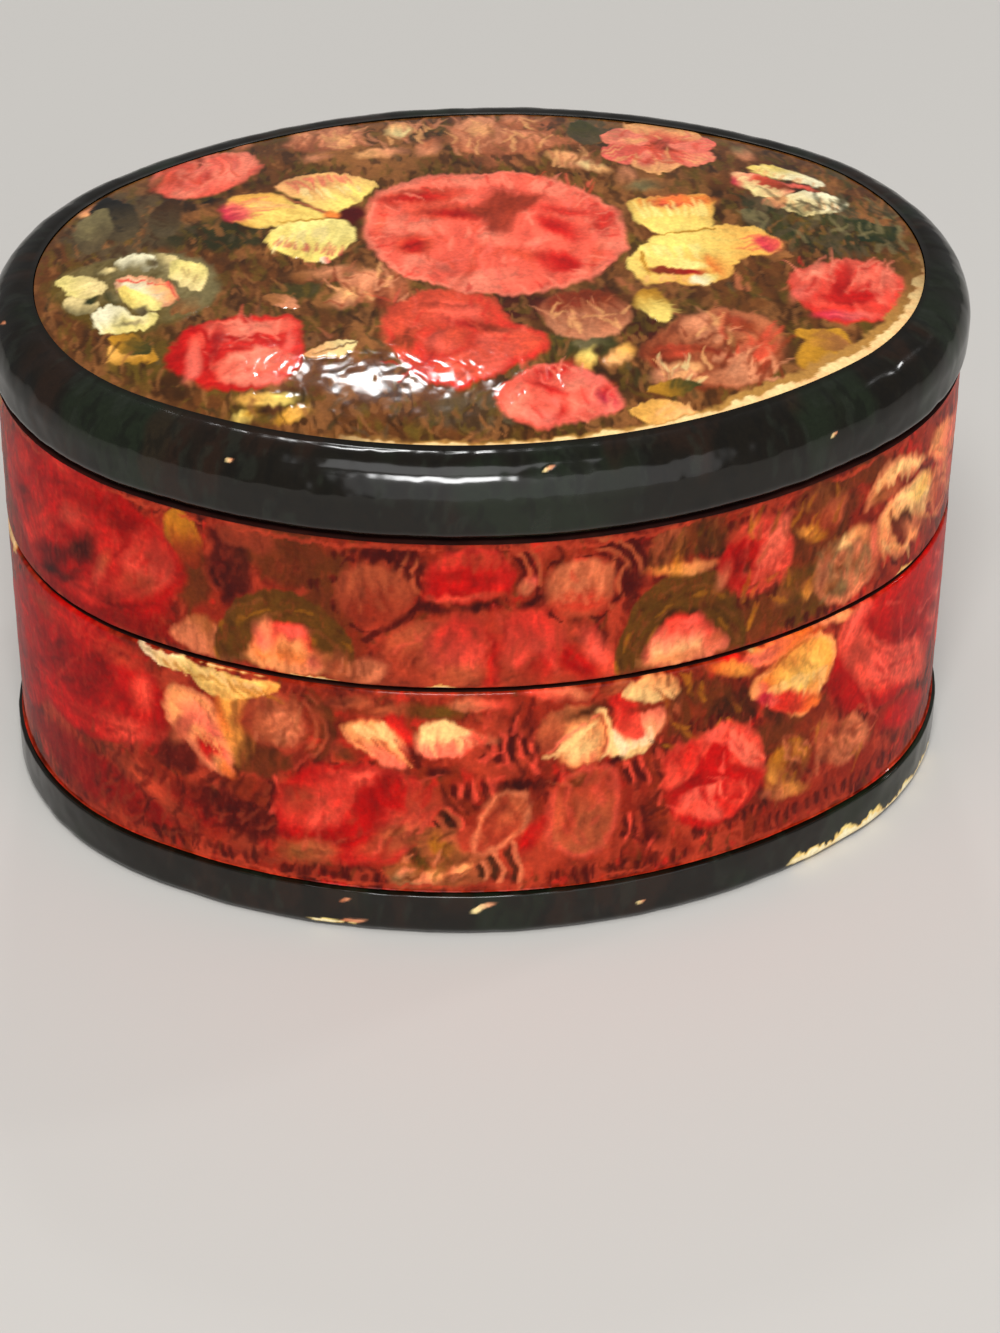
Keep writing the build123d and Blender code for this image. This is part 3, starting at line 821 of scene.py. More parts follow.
def field_border(canvas):
    """A band of thin paint and a cream line along the field's edge, ochre at its right end."""
    inside = depth_inside(canvas.true_u, canvas.true_v) - field_inset
    angle = np.degrees(np.arctan2(canvas.true_v, canvas.true_u))
    worn = 0.5 * noise(canvas.true_u, canvas.true_v, 0.8, border_seed)
    worn = worn + 0.5 * noise(canvas.true_u, canvas.true_v, 0.3, border_seed + 1)
    right_end = smooth((30 - np.abs(angle + 28)) / 14)
    front = smooth((65 - np.abs(angle + 62)) / 25)
    wide = 0.45 + 0.75 * right_end + 0.7 * (worn - 0.5)
    canvas.lay(canvas.everywhere, smooth((wide - inside) / 0.3) * (0.3 + 0.7 * front),
               blend("brown", "gold", 0.5 * front - 0.1 * right_end))
    line = smooth((0.2 + 0.3 * right_end + 0.7 * (worn - 0.45) - inside) / 0.16)
    canvas.lay(canvas.everywhere, line * front, blend("peach", "cream", worn), 0.01)


def paint_field(canvas):
    """The whole painting of the lid's field."""
    field_ground(canvas)
    field_brown_flowers(canvas)
    field_cream_flower(canvas)
    field_back_flowers(canvas)
    field_leaves(canvas)
    field_roses(canvas)
    peony(canvas)
    yellow_flower_left(canvas)
    yellow_flower_right(canvas)
    pale_flower(canvas)
    weathered(canvas, field_depth)
    field_border(canvas)


# The painting of the walls

def wall_ground(canvas, low, high):
    """Red-brown ground in soft upright touches, strewn with small dark strokes."""
    for paint, size, share, cover in (
            ("rust", 2.4, 0.4, 0.8), ("maroon", 2.6, 0.2, 0.6), ("terracotta", 1.5, 0.4, 0.8),
            ("oxblood", 1.0, 0.2, 0.6), ("brick", 0.6, 0.35, 0.8), ("scarlet", 0.8, 0.12, 0.5)):
        mottle(canvas, paint, size, share, cover, 1.3)
    half = canvas.span / 2
    scatter(canvas, (-half, low), (half, high), int(canvas.span * (high - low) * 0.9), 0.9,
            ("oxblood", "brown", "terracotta", "maroon", "terracotta"), 0.15, 0.7)


def brush_marks(canvas):
    """Fine upright touches that break up every motif of a wall."""
    for paint, size, share, cover in (("rosewood", 0.42, 0.25, 0.16), ("oxblood", 0.34, 0.16, 0.2),
                                      ("terracotta", 0.3, 0.16, 0.16)):
        mottle(canvas, paint, size, share, cover, 2.4)


def edge_line(canvas, level):
    """A thin pale line along the wall, broken where it is worn."""
    worn = noise(canvas.true_u, canvas.true_v, 1.4, canvas.seed + line_seed, canvas.span)
    line = smooth((0.16 * (0.4 + worn) - np.abs(canvas.v - level)) / 0.12)
    line = line * smooth((worn - 0.25) * 3)
    canvas.lay(canvas.everywhere, line * 0.8, "terracotta", 0.008)


def scroll(canvas, at, radii, turn, sweep=32, dark="oxblood", light="coral", width=0.34):
    """Nested crescents of dark ground between light strands, round a place beside them."""
    for radius in radii:
        reach = sweep * canvas.random.uniform(0.8, 1.15)
        hoop(canvas, at, (radius, radius), width, dark, -reach, reach, turn, 0.004, 0.9)
        hoop(canvas, at, (radius + 0.33, radius + 0.33), 0.24, light, -reach * 1.1, reach * 1.1, turn,
             0.016, 0.75)


def big_red_flower(canvas, at, size, light="coral", body="scarlet", dark="crimson", seed=1):
    """A large peony seen from the side: broad streaked petals, dark between them."""
    half_u, half_v = size
    dab(canvas, at, (half_u, half_v), blend(body, dark, 0.4), 0, soft=0.5, streak=0.8)
    for count, far, wide, tall, share in ((8, 0.7, 0.34, 0.34, 0.7), (6, 0.38, 0.26, 0.26, 0.5)):
        for k in range(count):
            angle = 360 * k / count + 20 * np.sin(seed * 1.3 + k * 2.1) + 30 * seed
            c, s = axes(angle)
            place = (at[0] + far * half_u * c, at[1] + far * half_v * s)
            petal_size = (wide * half_u, tall * half_v)
            dab(canvas, (place[0] - 0.5 * c, place[1] - 0.4 * s), (petal_size[0], petal_size[1] + 0.3),
                dark, angle + 90, soft=0.9, cover=0.7, streak=0.8)
            paint = blend(body, light, share * (0.5 + 0.5 * np.sin(seed + 2.3 * k)))
            dab(canvas, place, (petal_size[0] * 0.95, petal_size[1] * 0.85), paint, angle + 84,
                blend(body, light, share), 0.5, 0.022, 0.9)
    dab(canvas, at, (0.2 * half_u, 0.16 * half_v), dark, 20 * seed, body, 0.8, 0.006)
    stroke_count = 48
    for k in range(stroke_count):
        angle = 360 * k / stroke_count
        c, s = axes(angle)
        inward = canvas.random.uniform(0.4, 0.98)
        comma(canvas, (at[0] + half_u * inward * c, at[1] + half_v * inward * s),
              canvas.random.uniform(0.7, 1.7), 0.14, angle + 175, (light, body, dark)[k % 3], 0.1,
              0.022, 0.5)


def arch(canvas, at, size):
    """A brown arch of olive, tan and dark touches."""
    half_u, high = size
    hoop(canvas, at, (half_u - 0.9, high - 0.9), 2.1, blend("olive", "brown", 0.35), -14, 194,
         lift=0.014)
    stroke_count = 40
    for k in range(stroke_count):
        c, s = axes(180 * k / stroke_count + canvas.random.uniform(0, 4))
        out = canvas.random.uniform(0.55, 1.05)
        comma(canvas, (at[0] + half_u * out * c, at[1] + high * out * s),
              canvas.random.uniform(0.6, 1.3), 0.16, np.degrees(np.arctan2(s, c)) + 96,
              ("tan", "olive", "brown", "umber", "ochre")[k % 5], 0.2, 0.02, 0.4)
    hoop(canvas, at, (half_u - 1.9, high - 2.0), 0.4, "umber", -10, 190, cover=0.7)


def arched_bud(canvas, at, size=(3.6, 4.6), body="salmon", lobe="cream"):
    """A pink bud with a pale skirt that hangs under a brown arch."""
    arch(canvas, at, size)
    x, y = at
    shape(canvas, ((x - 2.1, y), (x - 1.5, y + 1.5), (x - 0.5, y + 2.6), (x + 0.5, y + 2.7),
                   (x + 1.5, y + 1.6), (x + 2.4, y), (x, y - 0.3)), body, "scarlet", 92, soft=0.5,
          streak=0.8)
    touches(canvas, (
        (x + 0.1, y + 2.1, 0.9, 0.5, 10, "coral", "pink"), (x - 1.2, y + 0.9, 0.9, 0.5, 80, lobe, body),
        (x - 0.1, y + 0.7, 0.9, 0.45, 86, lobe, body), (x + 0.8, y + 0.8, 0.8, 0.45, 96, lobe, body),
        (x + 1.7, y + 0.5, 0.6, 0.5, 60, "salmon", "dusty"),
        (x, y, 1.8, 0.35, 0, "peach", "blush")), 0.6, 0.8)


def drooping_flower(canvas, at, reach, turn, top, body):
    """A flower that hangs from its darker top in soft pale strokes."""
    c, s = axes(turn)
    root = (at[0] - c * reach * 0.5, at[1] - s * reach * 0.5)
    fan(canvas, root, reach * 1.2, 52, turn, top, body, "cream", 12, 0.022)
    dab(canvas, (root[0] + c * reach * 0.25, root[1] + s * reach * 0.25), (reach * 0.25, reach * 0.5),
        top, turn, soft=0.6, streak=0.8, cover=0.7)
    hatch(canvas, (root[0] + s * reach * 0.3, root[1] - c * reach * 0.3),
          (root[0] - s * reach * 0.3, root[1] + c * reach * 0.3), 5, reach * 0.6, turn, top, 0.18)


def round_bud(canvas, at, size, body="dusty", cap="brick", streaks="blush"):
    """A dusty round bud, streaked upright, with a few dark crescents round it."""
    dab(canvas, at, size, body, 90, blend(body, streaks, 0.6), 0.6, streak=0.9)
    dab(canvas, (at[0], at[1] - size[1] * 0.55), (size[0] * 0.75, size[1] * 0.42), cap, soft=0.9,
        cover=0.6)
    scatter(canvas, (at[0] - size[0] * 0.7, at[1] - size[1] * 0.6),
            (at[0] + size[0] * 0.7, at[1] + size[1] * 0.5), round(5 * size[0] * size[1]), 0.8,
            (body, streaks, cap), 0.16, 0.4)
    curls(canvas, at, (size[0] + 0.35, size[1] + 0.3), round(4 * (size[0] + size[1]) / 2))


def lid_wall_shadows(canvas):
    """Darker patches, hatching and scrolls between the lid wall's flowers."""
    washes(canvas, (
        (-11.5, 23.6, 3.2, 1.9, "brown"), (-9.4, 21.4, 1.6, 2.4, "brown"),
        (-14.8, 22.4, 1.2, 2.6, "maroon"), (-13.8, 24.6, 1.6, 0.9, "rosewood"),
        (5.9, 23.0, 0.7, 2.0, "oxblood"), (9.4, 24.0, 2.2, 1.2, "brown"),
        (15.4, 18.4, 3.2, 2.2, "olive"), (12.8, 18.2, 2.4, 1.8, "brown"),
        (16.5, 22.8, 2.6, 3.0, "brown"), (19.4, 24.6, 2.0, 0.8, "brown"),
        (-24, 17.4, 8.0, 1.2, "garnet"), (-17.0, 21.0, 1.0, 2.0, "brown"),
        (8.6, 21.9, 2.2, 0.6, "oxblood"), (-6.5, 24.6, 1.5, 0.5, "oxblood"),
        (-8.6, 18.6, 1.0, 1.4, "rust")))
    hatch(canvas, (-7.8, 19.2), (-5.2, 21.2), 7, 1.1, 30, "oxblood", 0.3, cover=0.8)
    for start, end, count in (
            ((-9.6, 24.6), (-4.8, 24.8), 8), ((10.8, 24.4), (16.6, 24.6), 9),
            ((-10.8, 22.6), (-8.8, 23.0), 4), ((5.4, 21.6), (6.6, 23.8), 5),
            ((7.6, 22.1), (10.0, 22.0), 5), ((14.4, 17.2), (19.2, 17.0), 7)):
        hatch(canvas, start, end, count, 0.7, -96, "oxblood", 0.22, 0.3, 0.8)
    for at, radii, turn, sweep in (
            ((-2.4, 23.2), (2.5, 3.1), 180, 26), ((-1.6, 23.4), (1.9, 2.5), 12, 30),
            ((3.2, 22.4), (2.2, 2.8), 40, 40), ((7.4, 22.4), (1.9, 2.6), 180, 34)):
        scroll(canvas, at, radii, turn, sweep, light="dusty", width=0.3)


def lid_wall_left(canvas):
    """The large red flower, and the arched, round and crimson buds right of it."""
    big_red_flower(canvas, (-24.6, 21.3), (7.4, 4.3), "madder", "ruby", "garnet", seed=2)
    touches(canvas, (
        (-26.6, 18.4, 2.2, 1.1, 20, "garnet", "wine"), (-20.6, 18.4, 2.0, 0.9, 16, "garnet", "crimson"),
        (-21.4, 23.7, 2.4, 0.9, -14, "garnet", "garnet"),
        (-26.0, 23.9, 1.6, 0.8, 10, "garnet", "crimson"),
        (-28.8, 21.6, 1.6, 0.8, 30, "garnet", "crimson"),
        (-24.2, 19.9, 1.4, 0.5, 50, "maroon", "garnet"), (-19.4, 21.4, 2.0, 1.4, 70, "rosy", "madder"),
        (-20.6, 19.4, 1.6, 0.8, 30, "madder", "rosewood"), (-23.6, 22.4, 2.0, 0.7, 14, "rosy", "ruby"),
        (-26.4, 21.6, 1.8, 0.8, 50, "madder", "crimson")), 0.9, 0.9)
    scatter(canvas, (-29.0, 18.4), (-18.6, 24.4), 60, 1.4, ("ruby", "crimson", "garnet", "madder"),
            0.16, 0.35, 60)
    touches(canvas, (
        (-24.0, 20.2, 1.5, 0.6, 52, "maroon", "oxblood"),
        (-25.2, 18.6, 2.2, 0.7, 30, "maroon", "garnet"),
        (-22.5, 19.9, 1.0, 0.3, 62, "rosy", "dusty")), 0.7, 0.9)
    leaf(canvas, (-17.6, 25.3), 3.6, 1.9, -74, "ochre", "rust")
    shape(canvas, ((-18.2, 17.2), (-17.4, 18.4), (-16.4, 19.0), (-15.2, 18.5), (-14.2, 18.2),
                   (-14.0, 17.0), (-16.0, 16.6)), "blush", "tan", 60, soft=0.5, streak=1.0)
    hatch(canvas, (-17.8, 17.0), (-14.4, 17.0), 9, 1.3, 84, "blush", 0.2, cover=0.6)
    arched_bud(canvas, (-11.8, 17.0), (3.6, 4.3), "peach", "orange")
    dab(canvas, (-12.9, 18.7), (0.9, 0.5), "pink", 80, "blush", 0.6, streak=0.8)
    round_bud(canvas, (-7.2, 22.2), (1.8, 2.0), "rosewood", "brick", "dusty")
    shape(canvas, ((-4.6, 22.6), (-4.0, 24.5), (-2.4, 25.1), (-0.8, 24.5), (-0.2, 23.0), (-0.9, 22.1),
                   (-2.6, 21.9), (-4.0, 22.1)), "ruby", "madder", 90, soft=0.5, streak=0.9)
    dab(canvas, (-2.6, 23.0), (1.6, 0.9), "crimson", 4, "ruby", 0.9, streak=0.9)
    hatch(canvas, (-4.0, 24.6), (-0.8, 24.5), 9, 1.0, -94, "terracotta", 0.2, cover=0.5)
    touches(canvas, (
        (-2.4, 22.1, 1.7, 0.18, 2, "coral", "terracotta"),
        (-1.7, 21.5, 1.1, 0.3, 4, "maroon", "oxblood"),
        (-4.2, 21.5, 0.9, 0.28, -10, "maroon", "oxblood"),
        (0.8, 21.7, 0.7, 0.3, 34, "maroon", "oxblood"),
        (0.6, 22.8, 0.5, 0.3, 50, "blush", "pink")), 0.4, 0.8)


def lid_wall_middle(canvas):
    """The wide drooping flower, and the round and the arched bud right of it."""
    shape(canvas, ((-8.7, 16.5), (-7.2, 18.2), (-5.6, 20.2), (-3.6, 21.2), (-1.2, 21.0), (1.2, 21.0),
                   (3.0, 20.0), (4.6, 18.4), (5.2, 16.6), (1.5, 16.2), (-4.0, 16.2)), "rosewood",
          "terracotta", 12, soft=0.5, streak=0.9)
    touches(canvas, (
        (-5.4, 18.6, 1.9, 1.3, 60, "terracotta", "dusty"), (-3.0, 19.0, 2.1, 1.5, 80, "rosy", "madder"),
        (0.8, 19.2, 2.0, 1.6, 100, "rosy", "madder"), (-1.2, 18.4, 2.0, 0.3, 88, "crimson", "ruby"),
        (3.0, 17.7, 1.5, 0.7, -50, "crimson", "crimson"), (4.3, 18.0, 1.3, 0.4, -58, "pink", "coral"),
        (-3.6, 17.2, 1.6, 0.7, 10, "terracotta", "dusty"),
        (1.0, 17.2, 1.2, 0.8, 70, "terracotta", "ruby")), 0.9, 1.0)
    scatter(canvas, (-6.8, 17.0), (3.8, 20.4), 50, 1.1, ("terracotta", "rosy", "madder", "rosewood"),
            0.17, 0.35)
    touches(canvas, (
        (-7.8, 17.1, 1.3, 0.7, 20, "dusty", "blush"),
        (-9.2, 17.4, 0.9, 0.7, 80, "dusty", "tan")), 0.6, 0.9)
    hatch(canvas, (-9.2, 16.9), (-6.6, 16.9), 6, 0.9, 86, "blush", 0.16, cover=0.5)

    round_bud(canvas, (3.2, 22.3), (1.8, 1.7), "dusty", "scarlet", "blush")
    arched_bud(canvas, (8.7, 16.9), (3.5, 4.8))
    touches(canvas, (
        (7.6, 23.9, 1.3, 0.8, 60, "brown", "dusty"), (10.1, 23.6, 1.3, 0.8, -50, "brown", "umber"),
        (8.6, 22.5, 1.5, 0.3, -8, "gold", "peach"),
        (8.4, 23.4, 0.9, 0.3, 80, "ochre", "tan")), 0.5, 0.9)
    scatter(canvas, (6.8, 22.6), (10.8, 24.6), 26, 0.9, ("olive", "brown", "tan", "umber"), 0.17, 0.6,
            80)


def lid_wall_right(canvas):
    """The red flower, the grey-olive bud and the cream flower at the right."""
    shape(canvas, ((10.6, 22.0), (11.2, 23.4), (12.8, 24.2), (14.2, 23.4), (15.0, 21.6), (14.4, 20.0),
                   (12.8, 19.4), (11.4, 20.4)), "ruby", "coral", -30, soft=0.5, streak=0.9)
    touches(canvas, (
        (11.9, 22.0, 1.6, 0.9, 66, "garnet", "crimson"), (13.7, 22.2, 1.8, 0.7, 66, "rosy", "salmon"),
        (13.2, 20.4, 1.4, 0.6, -16, "coral", "terracotta"),
        (12.4, 23.8, 1.2, 0.4, 10, "terracotta", "coral"),
        (12.0, 20.6, 0.8, 0.4, -40, "ruby", "crimson"),
        (10.9, 21.4, 0.8, 0.35, 70, "blush", "coral")), 0.6, 0.9)
    scatter(canvas, (11.4, 20.0), (14.6, 23.6), 24, 1.2, ("rosy", "madder", "salmon"), 0.14, 0.35, 70)
    hatch(canvas, (11.8, 19.6), (14.2, 19.6), 5, 1.1, -92, "oxblood", 0.2)
    touches(canvas, (
        (16.4, 23.4, 1.5, 1.0, 80, "rust", "tan"), (17.5, 22.8, 1.3, 0.8, 60, "rust", "dusty"),
        (16.2, 22.2, 0.9, 0.4, -30, "gold", "ochre"), (16.2, 18.6, 0.6, 0.4, 60, "gold", "tan"),
        (14.8, 18.6, 0.9, 0.5, -20, "tan", "olive")), 0.5, 0.9)
    scatter(canvas, (12.0, 17.2), (18.4, 24.6), 50, 1.0, ("tan", "ochre", "brown", "umber"), 0.17, 0.45,
            70)

    shape(canvas, ((16.5, 19.6), (16.9, 20.7), (18.2, 21.2), (19.8, 20.9), (20.9, 19.6), (20.7, 17.8),
                   (19.6, 16.8), (18.0, 17.0), (16.9, 18.2)), "blush", "steel", 90, soft=0.45,
          streak=0.9)
    touches(canvas, (
        (17.2, 20.3, 0.8, 0.45, 60, "blush", "tan"), (18.7, 20.9, 0.9, 0.4, 20, "cream", "peach"),
        (20.0, 20.5, 0.9, 0.4, -40, "peach", "dusty"), (18.3, 19.6, 0.8, 0.4, 84, "tan", "blush"),
        (19.4, 19.5, 0.8, 0.35, 84, "tan", "blush"), (20.8, 19.0, 1.4, 0.22, 100, "dusty", "salmon"),
        (18.0, 18.0, 0.9, 0.5, -30, "tan", "steel")), 0.5, 0.9)
    scatter(canvas, (16.9, 17.4), (20.4, 20.4), 22, 0.9, ("tan", "steel", "blush", "steel"), 0.16, 0.5)
    for points, paint, to, turn in (
            (((19.9, 22.0), (20.4, 23.6), (21.8, 24.3), (23.6, 23.8), (24.8, 22.9), (23.6, 22.6),
              (22.3, 23.0), (21.0, 22.6)), "peach", "cream", 60),
            (((25.0, 23.2), (27.0, 23.9), (29.6, 22.6), (30.8, 20.8), (28.2, 20.8), (26.0, 22.0)),
             "salmon", "peach", 130),
            (((26.2, 21.4), (28.0, 20.6), (29.6, 18.8), (28.0, 17.6), (26.4, 18.6)), "terracotta",
             "dusty", 100),
            (((20.8, 20.6), (21.8, 21.9), (23.8, 22.2), (25.8, 21.4), (26.0, 19.6), (24.6, 18.2),
              (22.8, 17.8), (21.4, 18.8)), "peach", "cream", 60)):
        shape(canvas, points, paint, to, turn, "blush", 0.4, 0.9)
    touches(canvas, (
        (24.4, 19.2, 1.3, 0.5, -36, "blush", "dusty"), (24.2, 21.3, 1.6, 0.6, -10, "cream", "yellow"),
        (21.8, 19.6, 1.2, 0.5, 86, "blush", "peach"), (31.0, 21.8, 2.2, 1.2, -20, "salmon", "dusty"),
        (31.8, 18.9, 2.0, 1.1, 10, "dusty", "terracotta")), 0.7, 0.8)
    scatter(canvas, (21.4, 18.6), (25.6, 21.8), 26, 1.2, ("peach", "cream", "blush"), 0.18, 0.4, -40)
    shape(canvas, ((22.0, 21.0), (22.5, 20.2), (23.2, 20.6), (23.9, 19.6), (23.4, 18.3), (22.7, 18.9),
                   (22.1, 20.0)), "rust", "brown", 60, soft=0.35, streak=0.8)
    touches(canvas, (
        (21.4, 22.5, 1.1, 0.5, 6, "tan", "dusty"), (23.9, 18.9, 1.1, 0.35, -50, "blush", "peach"),
        (27.6, 22.6, 2.2, 0.8, -30, "peach", "salmon"),
        (28.6, 20.0, 2.0, 0.9, -30, "blush", "rosy")), 0.5, 0.9)
    scatter(canvas, (25.4, 17.6), (31.0, 23.2), 40, 1.6, ("blush", "rosy", "rust", "peach"), 0.2, 0.4,
            -32)
    hatch(canvas, (20.6, 23.6), (24.2, 23.2), 6, 0.8, -100, "cream", 0.2, cover=0.5)


def base_wall_shadows(canvas):
    """Darker patches, hatching and scrolls between the base wall's flowers."""
    washes(canvas, (
        (-15.0, 6.3, 4.0, 1.8, "oxblood"), (-13.8, 10.6, 2.4, 1.3, "brown"),
        (-18.4, 9.4, 1.6, 1.2, "oxblood"), (-13.8, 8.4, 1.6, 0.9, "rust"),
        (9.6, 13.4, 2.4, 2.2, "brown"), (12.0, 12.6, 1.6, 1.4, "umber"), (15.2, 9.8, 2.2, 1.4, "brown"),
        (7.3, 6.4, 1.1, 1.8, "oxblood"), (18.5, 4.6, 5.0, 1.1, "brick"),
        (-24.0, 5.6, 8.0, 1.8, "garnet"), (17.4, 9.8, 1.6, 0.9, "rust"),
        (-1.0, 12.4, 2.4, 2.4, "terracotta"), (6.2, 7.6, 1.2, 3.0, "brick"),
        (0.4, 5.6, 6.0, 1.8, "terracotta"), (14.6, 12.0, 0.8, 1.6, "umber")))
    for start, end, count in (
            ((-12.6, 3.8), (-7.2, 3.8), 10), ((1.4, 4.0), (9.6, 4.0), 12), ((9.6, 5.4), (13.4, 5.4), 9),
            ((-21.0, 4.2), (-13.6, 4.2), 12), ((14.2, 4.5), (23.4, 4.4), 15),
            ((-9.8, 11.2), (-5.4, 11.2), 8), ((-17.4, 6.2), (-13.4, 7.6), 8),
            ((9.4, 12.6), (12.4, 12.2), 6), ((-0.8, 10.3), (1.4, 10.3), 5)):
        hatch(canvas, start, end, count, 0.9, -94, "oxblood", 0.2, 0.2, 0.8)
    for at, radii, turn, sweep in (
            ((-4.6, 9.8), (1.5, 2.2, 3.1), 0, 22), ((-4.8, 7.2), (0.9, 1.7), 28, 34),
            ((-2.4, 12.4), (0.9, 1.6), 0, 44), ((2.2, 12.6), (1.0, 1.7, 2.5), 180, 34),
            ((4.0, 6.6), (1.9, 2.6, 3.4), -6, 26), ((4.2, 9.4), (1.8, 2.5), 14, 24),
            ((-14.2, 8.6), (1.6,), -10, 40)):
        scroll(canvas, at, radii, turn, sweep)
    dab(canvas, (7.6, 6.6), (0.9, 1.6), "oxblood", 10, "rust", 0.8, 0, 0.9)


def base_wall_left(canvas):
    """The large red flowers, the peach tulip, the ochre bud and the yellow petals over it."""
    big_red_flower(canvas, (-25.4, 12.2), (6.8, 4.1), "ruby", "crimson", "garnet", seed=3)
    big_red_flower(canvas, (-31.8, 9.6), (3.6, 3.6), "ruby", "crimson", "garnet", seed=5)
    touches(canvas, (
        (-22.6, 14.6, 2.6, 0.8, 4, "ruby", "terracotta"), (-22.4, 9.6, 2.6, 0.9, 14, "ruby", "coral"),
        (-26.8, 15.0, 2.2, 0.6, 10, "terracotta", "ruby"), (-20.2, 12.2, 1.6, 0.7, 80, "ruby", "coral"),
        (-24.8, 12.2, 3.0, 1.8, 30, "garnet", "garnet"),
        (-20.4, 6.8, 2.6, 0.7, -24, "rosewood", "terracotta"),
        (-18.0, 5.2, 1.6, 0.6, -30, "rosewood", "brick"),
        (-15.0, 4.8, 1.4, 0.5, -10, "brick", "rosewood"),
        (-28.6, 9.4, 2.4, 1.2, 10, "garnet", "crimson")), 0.9, 0.9)
    scatter(canvas, (-30.0, 8.6), (-19.0, 15.4), 60, 1.4, ("ruby", "garnet", "crimson", "madder"), 0.16,
            0.35, 60)
    scatter(canvas, (-24.0, 3.6), (-12.6, 8.6), 90, 1.2, ("rosewood", "oxblood", "brick", "maroon"),
            0.18, 0.55, 60)
    shape(canvas, ((-14.6, 15.0), (-13.6, 13.6), (-13.6, 11.4), (-14.6, 9.6), (-15.4, 11.6),
                   (-15.6, 13.8)), "brown", "gold", 90, soft=0.5, streak=0.9)
    shape(canvas, ((-18.4, 13.7), (-16.8, 14.0), (-15.4, 12.8), (-14.9, 10.8), (-15.0, 9.2),
                   (-16.0, 9.0), (-17.4, 10.2), (-18.9, 11.8)), "salmon", "peach", 120, "blush", 0.3,
          0.8)
    touches(canvas, (
        (-17.4, 12.8, 1.2, 0.7, -50, "peach", "salmon"),
        (-16.3, 10.5, 0.9, 0.7, -20, "ruby", "scarlet"), (-15.5, 9.5, 0.7, 0.4, -40, "peach", "orange"),
        (-15.3, 12.0, 1.6, 0.3, -74, "orange", "gold"), (-17.9, 11.2, 1.1, 0.4, 60, "dusty", "salmon"),
        (-16.2, 11.6, 0.8, 0.3, -70, "salmon", "pink")), 0.5, 0.9)
    hatch(canvas, (-17.4, 11.6), (-15.7, 11.3), 6, 1.2, -64, "peach", 0.18, cover=0.6)
    touches(canvas, (
        (-12.8, 13.4, 1.8, 1.6, 60, "brick", "dusty"),
        (-12.4, 12.9, 1.4, 1.1, 20, "dusty", "blush")), 0.9, 1.0)
    scatter(canvas, (-14.0, 11.8), (-10.8, 14.6), 30, 1.0, ("dusty", "rosewood", "blush", "brown"),
            0.17, 0.4)
    for reach in (2.4, 2.9):
        hoop(canvas, (-12.6, 13.2), (reach, reach), 0.22, "dusty", 310, 410, cover=0.6)
        hoop(canvas, (-12.6, 13.2), (reach + 0.3, reach + 0.3), 0.24, "brown", 310, 420, cover=0.6)
    for points, paint, to in (
            (((-20.3, 16.2), (-19.0, 15.8), (-17.6, 16.1), (-16.6, 15.6), (-17.4, 15.0), (-19.4, 15.1)),
             "lemon", "ivory"),
            (((-17.0, 15.6), (-15.0, 15.7), (-13.0, 15.9), (-12.2, 15.5), (-13.6, 14.4), (-15.2, 14.0),
              (-16.6, 14.3)), "gold", "lemon")):
        shape(canvas, points, paint, to, 150, streak=1.0)
    hatch(canvas, (-19.6, 15.8), (-13.4, 15.4), 12, 1.0, -60, "cream", 0.17)
    hatch(canvas, (-18.8, 15.3), (-12.8, 15.0), 9, 1.1, -40, "ochre", 0.15)


